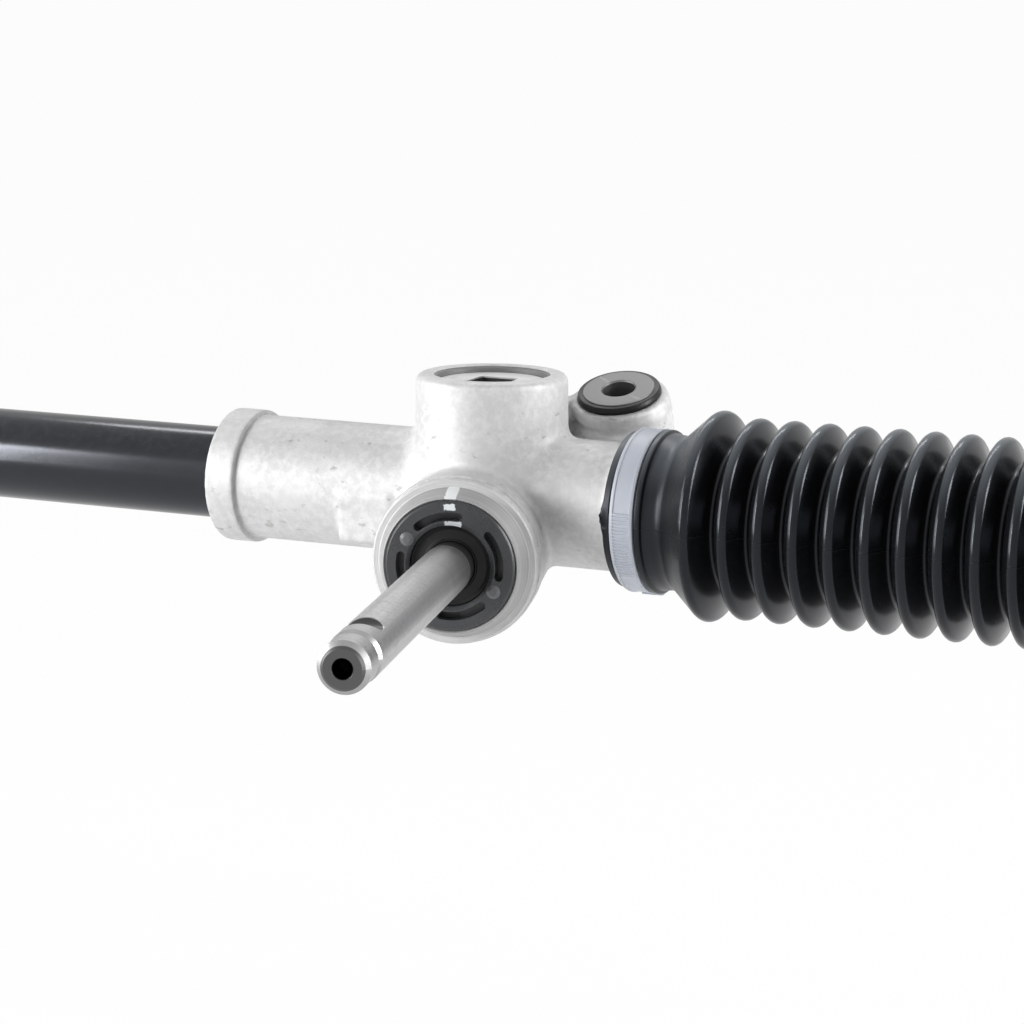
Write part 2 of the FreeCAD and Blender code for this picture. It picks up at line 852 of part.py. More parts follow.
def shaft_core():
    """The turned part of the pinion, from the lower journal to the input end."""
    input_radius = radius(of.input_diameter)
    journal = radius(of.journal_diameter)
    bearing_seat = radius(of.bearing_bore)
    land = radius(of.tip_land_diameter)
    hole = radius(of.tip_hole_diameter)
    clip_end = bearing_end + of.circlip_width
    lower = radius(of.lower_journal_diameter)
    return turned("shaft_core", [
        (-lower_bush_end, ZERO),
        (-lower_bush_end, lower - of.lower_journal_chamfer),
        (-lower_bush_end + of.lower_journal_chamfer, lower),
        (of.bearing_start - of.shoulder_width, lower),
        (of.bearing_start - of.shoulder_width, radius(of.shoulder_diameter)),
        (of.bearing_start, radius(of.shoulder_diameter)),
        (of.bearing_start, bearing_seat),
        (bearing_end, bearing_seat),
        (bearing_end, bearing_seat - of.circlip_depth),
        (clip_end, bearing_seat - of.circlip_depth),
        (clip_end, bearing_seat),
        (clip_end + of.shoulder_width, bearing_seat),
        (clip_end + of.shoulder_width, journal),
        (of.journal_end, journal),
        (of.journal_end, input_radius),
        (of.input_groove_place - of.input_groove_width / 2, input_radius),
        (of.input_groove_place, input_radius - of.input_groove_depth),
        (of.input_groove_place + of.input_groove_width / 2, land),
        (of.pinion_tip - of.tip_chamfer, land),
        (of.pinion_tip, land - of.tip_chamfer),
        (of.pinion_tip, hole + of.tip_hole_bevel),
        (of.pinion_tip - of.tip_hole_bevel, hole),
        (of.pinion_tip - of.tip_hole_depth, hole),
        (of.pinion_tip - of.tip_hole_depth - of.tip_hole_point, ZERO),
    ])


def bolt_notch():
    """The cross notch that the pinch bolt passes through."""
    cutter = rod("bolt_notch", -of.input_diameter, of.input_diameter, of.bolt_notch_diameter)
    height = radius(of.input_diameter + of.bolt_notch_diameter) - of.bolt_notch_depth
    place = Vector(of.bolt_notch_place.value, 0, height.value)
    return placed(cutter, frame(place, Vector(0, 1, 0)))


shaft_blank = fuse("shaft_blank", [shaft_core(), shaped("helical_gear", helical_gear())])
piece("pinion_shaft", cut("shaft", shaft_blank, bolt_notch()), PINION_FRAME)
clip_root = of.bearing_bore - of.circlip_depth * 2
piece("pinion_circlip", ring(
    "circlip", bearing_end, bearing_end + of.circlip_width,
    clip_root + of.circlip_wall * 2, clip_root), PINION_FRAME)


# Rack bar, with slanted teeth that meet the pinion's helix
def tooth_gaps():
    """Every gap between the teeth, and the flat that the tooth tips lie on."""
    drop = of.pinion_drop.value
    reference = pitch_radius + shift - drop
    tips = reference - module
    root = tip_radius + module * (of.tooth_root_depth.value - 1) - drop
    slant_cos, slant_sin = turn_of((of.pinion_helix - of.pinion_lean).value)
    width = of.rack_diameter.value
    half_length = of.teeth_half_length.value
    half_gap = module * math.pi / 4 / slant_cos
    spread = pressure_tan / slant_cos
    pitch = module * math.pi / slant_cos
    sweep = Vector(slant_sin / slant_cos, 1, 0) * width * 2
    middle = of.pinion_offset.value - sweep.x / 2
    gaps = []
    count = int(half_length / pitch)
    for index in range(-count, count + 1):
        centre = middle + pitch * index
        top = half_gap - spread * (root - reference)
        foot = half_gap + spread * (reference - tips)
        corners = [
            Vector(centre - top, -width, root),
            Vector(centre - foot, -width, tips),
            Vector(centre + foot, -width, tips),
            Vector(centre + top, -width, root),
        ]
        gaps.append(Part.Face(Part.makePolygon(corners + corners[:1])).extrude(sweep))
    flat = Part.makeBox(half_length * 2, width * 2, width, Vector(-half_length, -width, tips - width))
    return Part.makeCompound(gaps + [flat])


bar = turned("rack_blank", [
    (-of.rack_left_end, radius(of.stud_diameter)),
    (-of.rack_left_end, radius(of.rack_diameter) - of.rack_end_chamfer),
    (-of.rack_left_end + of.rack_end_chamfer, radius(of.rack_diameter)),
    (of.rack_right_end - of.rack_end_chamfer, radius(of.rack_diameter)),
    (of.rack_right_end, radius(of.rack_diameter) - of.rack_end_chamfer),
    (of.rack_right_end, radius(of.stud_diameter)),
    (of.rack_right_end - of.stud_length, radius(of.stud_diameter)),
    (of.rack_right_end - of.stud_length, ZERO),
    (-of.rack_left_end + of.stud_length, ZERO),
    (-of.rack_left_end + of.stud_length, radius(of.stud_diameter)),
])
piece("rack_bar", cut("rack", bar, shaped("tooth_gaps", tooth_gaps())), RACK_FRAME)

# Mount bush in the lug, measured down from its top face
piece("mount_bush_sleeve", turned("sleeve", [
    (-SLEEVE_LENGTH, radius(of.bush_hole)),
    (-SLEEVE_LENGTH, radius(of.sleeve_diameter)),
    (-of.sleeve_flange, radius(of.sleeve_diameter)),
    (-of.sleeve_flange, radius(of.sleeve_flange_diameter)),
    (ZERO, radius(of.sleeve_flange_diameter)),
    (ZERO, radius(of.bush_hole)),
]), BUSH_FRAME)
piece("mount_bush_rubber", turned("rubber", [
    (lug_top - of.lug_length, radius(of.sleeve_diameter)),
    (lug_top - of.lug_length, radius(of.rubber_diameter)),
    (lug_top, radius(of.rubber_diameter)),
    (lug_top, radius(of.rubber_flange_diameter)),
    (-of.sleeve_flange, radius(of.rubber_flange_diameter)),
    (-of.sleeve_flange, radius(of.sleeve_diameter)),
]), BUSH_FRAME)

# Boots with their ties and clips, measured outwards from the tower axis
BOOT_SEATS = {
    "right": (of.cuff_lip, of.seat_diameter, of.crest_diameter, of.valley_diameter),
    "left": (of.tube_far_end - of.left_overlap, of.tube_diameter, of.left_crest_diameter,
             of.left_valley_diameter),
}
SIDE_FRAMES = {"right": RACK_FRAME, "left": LEFT_FRAME}
full_folds = int(of.full_folds.value)
taper_folds = int(of.taper_folds.value)


def fold_diameters(full_crest, full_valley):
    """The crest and valley diameter of each fold, from the cuff to the rod."""
    folds = [(full_crest, full_valley)] * full_folds
    for step in range(1, taper_folds + 1):
        share = step / taper_folds
        crest = full_crest + (of.small_crest_diameter - full_crest) * share
        valley = full_valley + (of.small_valley_diameter - full_valley) * share
        folds.append((crest, valley))
    return folds


def boot(side):
    """A bellows shell from its cuff to its small end."""
    lip, seat, full_crest, full_valley = BOOT_SEATS[side]
    wall = of.boot_wall
    cuff = radius(seat) + of.cuff_wall
    band_stop = lip + of.cuff_band_offset + of.cuff_band_width
    neck = lip + of.cuff_length
    crest = lip + of.first_crest_offset
    outer = [
        (lip, cuff),
        (band_stop, cuff),
        (band_stop, cuff + of.cuff_ridge_height),
        (band_stop + of.cuff_ridge_width, cuff + of.cuff_ridge_height),
        (band_stop + of.cuff_ridge_width, cuff),
        (neck - of.cuff_ridge_width, cuff),
        (neck, cuff - of.cuff_neck_depth),
    ]
    inner = [
        (lip, radius(seat)),
        (lip + of.cuff_seat_length, radius(seat)),
        (neck, cuff - of.cuff_neck_depth - wall),
    ]
    for crest_diameter, valley_diameter in fold_diameters(full_crest, full_valley):
        outer.append((crest, radius(crest_diameter)))
        outer.append((crest + of.crest_pitch / 2, radius(valley_diameter)))
        inner.append((crest, radius(crest_diameter) - wall))
        inner.append((crest + of.crest_pitch / 2, radius(valley_diameter) - wall))
        crest = crest + of.crest_pitch
    small = small_cuff_start(side)
    outer += [
        (small, radius(of.rod_diameter) + of.cuff_wall),
        (small + of.small_cuff_length, radius(of.rod_diameter) + of.cuff_wall),
    ]
    inner += [
        (small, radius(of.rod_diameter)),
        (small + of.small_cuff_length, radius(of.rod_diameter)),
    ]
    return turned(f"{side}_boot", outer + inner[::-1])


def small_cuff_start(side):
    lip = BOOT_SEATS[side][0]
    return lip + of.first_crest_offset + of.crest_pitch * (full_folds + taper_folds)


def boot_tie(side):
    """The large tie, whose head stands on the band's outside."""
    lip, seat = BOOT_SEATS[side][:2]
    start = lip + of.cuff_band_offset
    bore = seat + of.cuff_wall * 2
    band = ring(f"{side}_band", start, start + of.cuff_band_width, bore + of.tie_thickness * 2, bore)
    head = extruded(f"{side}_tie_head", [
        (start, radius(bore)),
        (start + of.cuff_band_width, radius(bore)),
        (start + of.cuff_band_width, radius(bore) + of.tie_head_height),
        (start, radius(bore) + of.tie_head_height),
    ], of.tie_head_length)
    head.Placement = Placement(Vector(), Rotation(RIGHT, of.tie_head_turn.value))
    return fuse(f"{side}_tie", [band, head])


for side, side_frame in SIDE_FRAMES.items():
    piece(f"boot_{side}", boot(side), side_frame)
    piece(f"boot_tie_{side}", boot_tie(side), side_frame)
    cuff_start = small_cuff_start(side) + (of.small_cuff_length - of.clip_width) / 2
    clip_bore = of.rod_diameter + of.cuff_wall * 2
    piece(f"boot_clip_{side}", ring(
        f"{side}_clip", cuff_start, cuff_start + of.clip_width,
        clip_bore + of.clip_thickness * 2, clip_bore), side_frame)

# Inner ball joints and tie rods, measured outwards from each ball centre
joint_back = -of.ball_reach + of.washer_thickness
ball_bore = of.ball_diameter + of.ball_fit * 2
seat_outer = ball_bore + of.seat_wall * 2


def sphere_height(sphere_radius, along):
    """The radius of a sphere about the ball centre at a place along the axis."""
    return (sphere_radius * sphere_radius - along * along).root()


def joint_housing(side):
    """The screwed-on socket, with two flats for a spanner."""
    cavity = radius(seat_outer) + of.seat_fit
    blank = turned(f"{side}_joint_blank", [
        (-of.ball_reach - of.stud_length, ZERO),
        (-of.ball_reach - of.stud_length, radius(of.stud_diameter)),
        (joint_back, radius(of.stud_diameter)),
        (joint_back, radius(of.joint_diameter)),
        (of.joint_nose - of.joint_nose_bevel, radius(of.joint_diameter)),
        (of.joint_nose, radius(of.joint_diameter) - of.joint_nose_bevel),
        (of.joint_nose, sphere_height(cavity, of.joint_nose)),
        (-cavity, ZERO),
    ], arcs=[6])
    wide = of.joint_diameter
    reach = radius(of.joint_flat_width)
    flats = []
    for place, foot in (("above", reach), ("below", -reach - wide)):
        flat = extruded(f"{side}_joint_flat_{place}", [
            (joint_back, -wide),
            (joint_back + of.joint_flat_length, -wide),
            (joint_back + of.joint_flat_length, wide),
            (joint_back, wide),
        ], wide)
        flats.append(placed(flat, Placement(UP * foot.value, Rotation())))
    return cut(f"{side}_joint", blank, fuse(f"{side}_joint_flats", flats))


def ball_seat(side):
    """The plastic shell between the ball and its socket."""
    inner = radius(ball_bore)
    outer = radius(seat_outer)
    return turned(f"{side}_seat", [
        (-of.seat_back, sphere_height(inner, of.seat_back)),
        (-of.seat_back, sphere_height(outer, of.seat_back)),
        (of.seat_front, sphere_height(outer, of.seat_front)),
        (of.seat_front, sphere_height(inner, of.seat_front)),
    ], arcs=[1, 3])


def tie_rod(side):
    """The ball, its neck, the rod and the plain stretch beyond the jam nut that carries the thread."""
    sphere = radius(of.ball_diameter)
    neck = radius(of.rod_neck_diameter)
    thread_start = of.rod_length - of.jam_nut_inset + of.jam_nut_height
    return turned(f"{side}_rod", [
        (-sphere, ZERO),
        (sphere_height(sphere, neck), neck),
        (of.rod_neck_length, neck),
        (of.rod_neck_length + of.rod_neck_blend, radius(of.rod_diameter)),
        (thread_start, radius(of.rod_diameter)),
        (thread_start, radius(of.rod_thread_diameter)),
        (of.rod_length - of.rod_end_chamfer, radius(of.rod_thread_diameter)),
        (of.rod_length, radius(of.rod_thread_diameter) - of.rod_end_chamfer),
        (of.rod_length, ZERO),
    ], arcs=[0])


def jam_nut(side):
    prism = doc.addObject("Part::Prism", f"{side}_nut_prism")
    prism.Polygon = 6
    prism.setExpression("Circumradius", (of.jam_nut_width / 2 / math.cos(math.pi / 6)).text)
    prism.setExpression("Height", of.jam_nut_height.text)
    placed(prism, frame_along_z(of.rod_length - of.jam_nut_inset))
    bore = rod(f"{side}_nut_bore", ZERO, of.rod_length, of.rod_diameter)
    return cut(f"{side}_nut", prism, bore)


def frame_along_z(start):
    """Lay a shape that stands on Z along X instead, from the given start."""
    return Placement(Vector(start.value, 0, 0), Rotation(UP, RIGHT))


for side, (outward, reach) in SIDES.items():
    ball_frame = frame(outward * reach.value, outward)
    piece(f"inner_joint_{side}", joint_housing(side), ball_frame)
    piece(f"lock_washer_{side}", ring(
        f"{side}_washer", -of.ball_reach, joint_back, of.washer_diameter, of.stud_diameter), ball_frame)
    piece(f"ball_seat_{side}", ball_seat(side), ball_frame)
    piece(f"tie_rod_{side}", tie_rod(side), ball_frame)
    piece(f"jam_nut_{side}", jam_nut(side), ball_frame)


# Checks and files
doc.recompute()
for item in doc.Objects:
    if {"Invalid", "Error"} & set(item.State):
        raise RuntimeError(f"{item.Label} failed: {item.State}")
for item in pieces:
    if item.Shape.isNull() or not item.Shape.isValid():
        raise RuntimeError(f"{item.Label} has no valid shape")
for item in pieces:
    item.Shape.exportStep(f"parts/{item.Label}.step")
print(len(pieces), "pieces")
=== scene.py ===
# %% [markdown]
# # Dressing a steering rack
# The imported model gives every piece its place. This lesson loads it, lights it like a catalogue
# picture, gives each piece the finish of the real one, and replaces the plain solids with pieces
# that carry the small forms: soft casting fillets, rounded bellows, ribs, threads and chamfers.

# %% Load the frame and keep its box
import json
import math

import bmesh
import bpy
import numpy as np
from mathutils import Matrix, Vector


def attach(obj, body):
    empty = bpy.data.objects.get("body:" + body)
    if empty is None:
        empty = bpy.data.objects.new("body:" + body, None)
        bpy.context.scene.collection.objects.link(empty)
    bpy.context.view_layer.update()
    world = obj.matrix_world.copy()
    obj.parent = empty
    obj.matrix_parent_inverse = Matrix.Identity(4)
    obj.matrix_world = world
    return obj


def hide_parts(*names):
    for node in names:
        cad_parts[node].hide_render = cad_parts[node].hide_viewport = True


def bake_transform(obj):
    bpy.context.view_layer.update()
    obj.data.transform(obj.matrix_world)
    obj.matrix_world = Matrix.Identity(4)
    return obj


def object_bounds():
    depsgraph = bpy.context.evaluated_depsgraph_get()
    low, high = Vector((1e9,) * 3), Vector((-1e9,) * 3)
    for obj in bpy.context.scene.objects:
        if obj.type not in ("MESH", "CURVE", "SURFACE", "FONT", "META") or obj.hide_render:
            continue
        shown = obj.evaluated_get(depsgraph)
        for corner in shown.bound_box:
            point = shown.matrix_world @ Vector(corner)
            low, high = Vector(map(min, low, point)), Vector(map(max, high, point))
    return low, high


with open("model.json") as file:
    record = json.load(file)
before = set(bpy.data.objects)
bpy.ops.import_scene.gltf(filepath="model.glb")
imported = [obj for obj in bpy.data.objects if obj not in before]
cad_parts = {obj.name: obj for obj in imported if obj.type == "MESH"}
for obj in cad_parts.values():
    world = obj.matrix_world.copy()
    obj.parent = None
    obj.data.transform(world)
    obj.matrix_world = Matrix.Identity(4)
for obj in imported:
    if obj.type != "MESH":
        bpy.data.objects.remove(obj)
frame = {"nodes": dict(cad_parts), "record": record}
cad_box = [list(corner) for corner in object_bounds()]
print("CAD box in metres:", cad_box)

# %% [markdown]
# A steering rack is made of turned things on a few axes: the rack itself, the yoke tower, the
# pinion and the mount bush. Lengths are easiest to read in millimetres from the point where the
# tower's axis meets the rack's, so each axis gets a frame whose X runs along it.

# %% Name the axes
MM = 0.001
TOWER_FOOT = Vector((-33.6, -43.6124, 2.3998))
RIGHT = Vector((1, 0, 0))
LEFT = Vector((-1, 0, 0))
UP = Vector((0, 0, 1))
LEAN = math.radians(12.8)
TILT = math.radians(20)
PINION_LINE = Vector((math.sin(LEAN), -math.cos(LEAN), 0))
BUSH_LINE = Vector((0, -math.sin(TILT), math.cos(TILT)))
PINION_POINT = Vector((-3.7, 0, -14))
BUSH_POINT = Vector((33.6, 30, 35))
PINION = (PINION_POINT, PINION_LINE)
BUSH = (BUSH_POINT, BUSH_LINE)
ACROSS = (math.cos(LEAN), math.sin(LEAN), 0)


def axis_frame(point, axis):
    """A matrix that lays local X along an axis through a point, and scales to metres."""
    side = UP.cross(axis) if abs(axis.z) < 0.99 else RIGHT.cross(axis)
    side.normalize()
    turn = Matrix((axis, side, axis.cross(side))).transposed().to_4x4()
    return Matrix.Scale(MM, 4) @ Matrix.Translation(point + TOWER_FOOT) @ turn


RACK_AXIS = axis_frame(Vector(), RIGHT)
LEFT_AXIS = axis_frame(Vector(), LEFT)
TOWER_AXIS = axis_frame(Vector(), UP)
PINION_AXIS = axis_frame(*PINION)
BUSH_AXIS = axis_frame(*BUSH)
SIDES = {"right": (RACK_AXIS, 1), "left": (LEFT_AXIS, -1)}


def on_rack(along):
    """A point on the rack's axis, in metres in the part's frame."""
    return (Vector((along, 0, 0)) + TOWER_FOOT) * MM


print("tower foot at", [round(value, 4) for value in TOWER_FOOT * MM])

# %% [markdown]
# Catalogue pictures of car parts are taken with a long lens from a little above. The camera stands
# a metre away, turned 24 degrees round to the input shaft's side, and 11 degrees up, so that the
# tower's mouth just opens. Its axes are written out as a matrix, so there is no guessing by eye.

# %% Set up the camera
CAMERA_TURN = math.radians(23.8)
CAMERA_RISE = math.radians(11.0)
CAMERA_ROLL = math.radians(0.4)
CAMERA_DISTANCE = 1009.56
CAMERA_TARGET = Vector((7.6, 0, -4.77))
CAMERA_LENS = 105.47


def camera_matrix():
    """Where the camera stands and how it is turned."""
    back = Vector((
        math.sin(CAMERA_TURN) * math.cos(CAMERA_RISE),
        -math.cos(CAMERA_TURN) * math.cos(CAMERA_RISE),
        math.sin(CAMERA_RISE),
    ))
    level = Vector((math.cos(CAMERA_TURN), math.sin(CAMERA_TURN), 0))
    right = level * math.cos(CAMERA_ROLL) + back.cross(level) * math.sin(CAMERA_ROLL)
    turn = Matrix((right, back.cross(right), back)).transposed().to_4x4()
    place = (CAMERA_TARGET + TOWER_FOOT + back * CAMERA_DISTANCE) * MM
    return Matrix.Translation(place) @ turn


def in_scene(name, data):
    """A new object, linked into the scene."""
    made = bpy.data.objects.new(name, data)
    bpy.context.scene.collection.objects.link(made)
    return made


lens = bpy.data.cameras.new("catalogue_camera")
lens.lens = CAMERA_LENS
lens.sensor_width = 36
lens.clip_end = 100
camera = in_scene("catalogue_camera", lens)
camera.matrix_world = camera_matrix()
bpy.context.scene.camera = camera
bpy.context.scene.view_settings.view_transform = "Standard"
print("camera at", [round(value, 3) for value in camera.location])

# %% [markdown]
# Materials are built from a few small steps that repeat: add a node, join two sockets, blend two
# colours. Short helpers keep the recipes below readable.

# %% Node helpers
FROM_ZERO = (2411.3, 2523.7, 2617.1)


def node(tree, kind, **settings):
    """Add one shader node and set what it needs."""
    made = tree.nodes.new("ShaderNode" + kind)
    for key, value in settings.items():
        setattr(made, key, value)
    return made


def feed(tree, socket, value):
    """Give a socket another socket's output or a plain value."""
    if isinstance(value, bpy.types.NodeSocket):
        tree.links.new(value, socket)
    else:
        socket.default_value = value


def sums(tree, operation, first, second=0.0, third=0.0):
    """One step of arithmetic."""
    made = node(tree, "Math", operation=operation)
    for socket, value in zip(made.inputs, (first, second, third)):
        feed(tree, socket, value)
    return made.outputs[0]


def times(tree, first, second):
    """A product."""
    return sums(tree, "MULTIPLY", first, second)


def plus(tree, first, second):
    """A sum."""
    return sums(tree, "ADD", first, second)


def minus(tree, first, second):
    """A difference."""
    return sums(tree, "SUBTRACT", first, second)


def arrows(tree, operation, first, second=(0, 0, 0), number=False):
    """One step of vector arithmetic."""
    made = node(tree, "VectorMath", operation=operation)
    feed(tree, made.inputs[0], first)
    feed(tree, made.inputs[1], second)
    return made.outputs["Value" if number else "Vector"]


def axes_of(tree, arrow):
    """The X, Y and Z of a place or direction."""
    made = node(tree, "SeparateXYZ")
    feed(tree, made.inputs[0], arrow)
    return made.outputs


def facing_up(tree):
    """One where the surface lies level, zero where it's upright."""
    return axes_of(tree, node(tree, "NewGeometry").outputs["Normal"])["Z"]


def remap(tree, value, low, high, start=0.0, end=1.0):
    """Stretch a range of values to another, smoothly and without leaving it."""
    made = node(tree, "MapRange", interpolation_type="SMOOTHSTEP")
    for socket, number in zip(made.inputs, (value, low, high, start, end)):
        feed(tree, socket, number)
    return made.outputs[0]


def mix(tree, share, first, second):
    """Two colours mixed by a share."""
    made = node(tree, "Mix", data_type="RGBA")
    feed(tree, made.inputs[0], share)
    feed(tree, made.inputs[6], first)
    feed(tree, made.inputs[7], second)
    return made.outputs[2]


def millimetres(tree):
    """The place on the piece, in millimetres in the part's frame."""
    return arrows(tree, "MULTIPLY", node(tree, "TexCoord").outputs["Object"], (1 / MM,) * 3)


def noise(tree, place, size, detail=4.0, roughness=0.55):
    """Smooth noise whose features are about one size across, read far from its own zero planes."""
    made = node(tree, "TexNoise")
    feed(tree, made.inputs["Vector"], arrows(tree, "ADD", place, FROM_ZERO))
    feed(tree, made.inputs["Scale"], sums(tree, "DIVIDE", 1.0, size))
    made.inputs["Detail"].default_value = detail
    made.inputs["Roughness"].default_value = roughness
    return made.outputs["Fac"]


print("node helpers ready")

# %% [markdown]
# Grain, spots, dust, lathe lines, worn edges and dabs of marking paint turn up on several finishes.
# Each one is a node group that is built once and placed in every material with its own values.
# A group gives only heights, masks and places; the shader itself stays in the material.

# %% A place for shared effects


def shader_group(name, inputs, outputs):
    """Start a node group with named sockets."""
    group = bpy.data.node_groups.new(name, "ShaderNodeTree")
    for label, kind, value in inputs:
        socket = group.interface.new_socket(label, in_out="INPUT", socket_type="NodeSocket" + kind)
        socket.default_value = value
    for label in outputs:
        group.interface.new_socket(label, in_out="OUTPUT", socket_type="NodeSocketFloat")
    given, result = group.nodes.new("NodeGroupInput"), group.nodes.new("NodeGroupOutput")
    return group, given.outputs, result.inputs


def effect(tree, group, **values):
    """Place a shared effect in a material."""
    made = node(tree, "Group")
    made.node_tree = group
    for key, value in values.items():
        feed(tree, made.inputs[key.replace("_", " ")], value)
    return made.outputs


print("group helpers ready")

# %% [markdown]
# Cast skin, paint and rubber all show two sizes of unevenness: a fine grain that catches the light
# and wide clouds of tone. Both come from one noise. Spots appear only where a fine and a wide noise
# are high together, so that they gather in fields, as real marks do.

# %% Grain and spots


def grain_group():
    """Two sizes of noise: a height for the bump and a tone for the colour."""
    group, given, result = shader_group(
        "surface_grain", [("Size", "Float", 1.0), ("Wander", "Float", 12.0)], ["Height", "Tone"])
    place = millimetres(group)
    fine = noise(group, place, given["Size"], 6.0, 0.6)
    wide = noise(group, place, given["Wander"], 3.0)
    feed(group, result["Height"], fine)
    tone = sums(group, "MULTIPLY_ADD", wide, 0.7, times(group, fine, 0.3))
    feed(group, result["Tone"], tone)
    return group


def spot_group():
    """Scattered small marks where two noises agree."""
    group, given, result = shader_group(
        "scattered_spots", [("Size", "Float", 2.0), ("Amount", "Float", 0.3)], ["Mask"])
    place = millimetres(group)
    stretched = arrows(group, "MULTIPLY", place, (1.0, 1.0, 1.7))
    marks = noise(group, stretched, given["Size"], 3.0, 0.6)
    fields = noise(group, place, 17.0, 2.0)
    level = sums(group, "MULTIPLY_ADD", fields, 0.45, times(group, marks, 0.75))
    edge = minus(group, 0.86, times(group, given["Amount"], 0.3))
    feed(group, result["Mask"], remap(group, level, edge, plus(group, edge, 0.09)))
    return group


grain = grain_group()
spots = spot_group()
print("groups:", grain.name, spots.name)

# %% [markdown]
# Dust lies on what faces up, which the surface normal tells. Wear shows on sharp outer edges, which
# Blender's pointiness finds from the mesh itself, so no edge has to be picked by hand.

# %% Dust and worn edges


def dust_group():
    """Dust on what faces up, broken by noise."""
    group, given, result = shader_group("settled_dust", [("Amount", "Float", 0.3)], ["Mask"])
    lying = remap(group, facing_up(group), 0.1, 0.95)
    patches = remap(group, noise(group, millimetres(group), 3.0, 6.0), 0.35, 0.75)
    amount = times(group, given["Amount"], times(group, lying, patches))
    feed(group, result["Mask"], amount)
    return group


def wear_group():
    """Edges rubbed bright, found where the surface is sharply convex."""
    group, given, result = shader_group(
        "worn_edges", [("Start", "Float", 0.53), ("Amount", "Float", 1.0)], ["Mask"])
    sharp = node(group, "NewGeometry").outputs["Pointiness"]
    start = given["Start"]
    rubbed = remap(group, sharp, start, plus(group, start, 0.06))
    broken = remap(group, noise(group, millimetres(group), 1.6, 5.0), 0.3, 0.6)
    mask = times(group, times(group, rubbed, broken), given["Amount"])
    feed(group, result["Mask"], mask)
    return group


dust = dust_group()
wear = wear_group()
print("groups:", dust.name, wear.name)

# %% [markdown]
# A turning tool leaves rings round its axis. The distance along the axis plus the distance from it
# changes over flats and rounds alike, so a noise that reads this one number draws rings on both.
# The same two distances tell other finishes where on the axis they are.

# %% Lathe lines and paint dabs


def lathe_group():
    """Fine rings left by a turning tool along any axis."""
    group, given, result = shader_group(
        "lathe_lines",
        [("Point", "Vector", (0, 0, 0)), ("Axis", "Vector", (1, 0, 0)), ("Pitch", "Float", 0.3)],
        ["Height", "Tone", "Along", "Reach"])
    place = arrows(group, "SUBTRACT", millimetres(group), given["Point"])
    along = arrows(group, "DOT_PRODUCT", place, given["Axis"], number=True)
    reach = arrows(group, "LENGTH", place, number=True)
    across = minus(group, times(group, reach, reach), times(group, along, along))
    reach = sums(group, "SQRT", sums(group, "MAXIMUM", across, 0.0))
    path = plus(group, along, reach)
    rings = node(group, "TexNoise", noise_dimensions="1D")
    feed(group, rings.inputs["W"], sums(group, "DIVIDE", path, given["Pitch"]))
    rings.inputs["Scale"].default_value = 1.0
    rings.inputs["Detail"].default_value = 3.0
    feed(group, result["Height"], rings.outputs["Fac"])
    feed(group, result["Along"], along)
    feed(group, result["Reach"], reach)
    feed(group, result["Tone"], remap(group, rings.outputs["Fac"], 0.3, 0.7))
    return group


def dab_group():
    """A stroke of marking paint across the top of a ring, between two radii."""
    group, given, result = shader_group(
        "paint_dab",
        [("Point", "Vector", (0, 0, 0)), ("Across", "Vector", (1, 0, 0)), ("Low", "Float", 0.0),
         ("High", "Float", 10.0), ("Half Width", "Float", 1.8)],
        ["Mask"])
    place = millimetres(group)
    ragged = times(group, minus(group, noise(group, place, 1.3, 4.0), 0.5), 1.6)
    place = arrows(group, "SUBTRACT", place, given["Point"])
    aside = arrows(group, "DOT_PRODUCT", place, given["Across"], number=True)
    side = sums(group, "ABSOLUTE", plus(group, ragged, aside))
    height = plus(group, axes_of(group, place)["Z"], ragged)

    def past(value, edge, *ends):
        """How far a value has crossed a soft edge."""
        return remap(group, value, given[edge], plus(group, given[edge], 0.25), *ends)

    within = times(group, past(height, "Low"), past(height, "High", 1.0, 0.0))
    feed(group, result["Mask"], times(group, past(side, "Half Width", 1.0, 0.0), within))
    return group


lathe_lines = lathe_group()
paint_dab = dab_group()
print("groups:", lathe_lines.name, paint_dab.name)

# %% [markdown]
# A material is one Principled shader with masks on its colour and roughness and one bump. The
# recipe below makes the empty material and keeps it under its name; each finish then works out a
# colour, a roughness and a height, which is what its surface really shows.

# %% Start a finish
FINISHES = {}
COOL = (0.84, 0.88, 1.0, 1)
WHITE_MARK = (0.82, 0.85, 0.88, 1)


def finish(name, metallic=0.0, specular=0.5):
    """A new material with its shader ready."""
    material = bpy.data.materials.new(name)
    material.use_nodes = True
    tree = material.node_tree
    tree.nodes.clear()
    shader = node(tree, "BsdfPrincipled")
    shader.inputs["Metallic"].default_value = metallic
    shader.inputs["Specular IOR Level"].default_value = specular
    tree.links.new(shader.outputs[0], node(tree, "OutputMaterial").inputs[0])
    FINISHES[name] = material
    return tree, shader


def surface(tree, shader, colour, rough, height, depth):
    """Feed the shader its colour and roughness, and a bump of a depth in millimetres."""
    feed(tree, shader.inputs["Base Color"], colour)
    feed(tree, shader.inputs["Roughness"], rough)
    made = node(tree, "Bump")
    made.inputs["Strength"].default_value = 1.0
    made.inputs["Distance"].default_value = depth * MM
    feed(tree, made.inputs["Height"], height)
    feed(tree, shader.inputs["Normal"], made.outputs[0])


def grey(level, tint=0.0):
    """A neutral colour, a little blue where tint is above zero."""
    return (level * (1 - tint), level, level * (1 + tint), 1)


def greys(tree, share, dark, light, tint=0.0):
    """A grey that varies between two levels."""
    return mix(tree, share, grey(dark, tint), grey(light, tint))


print("finish recipe ready")
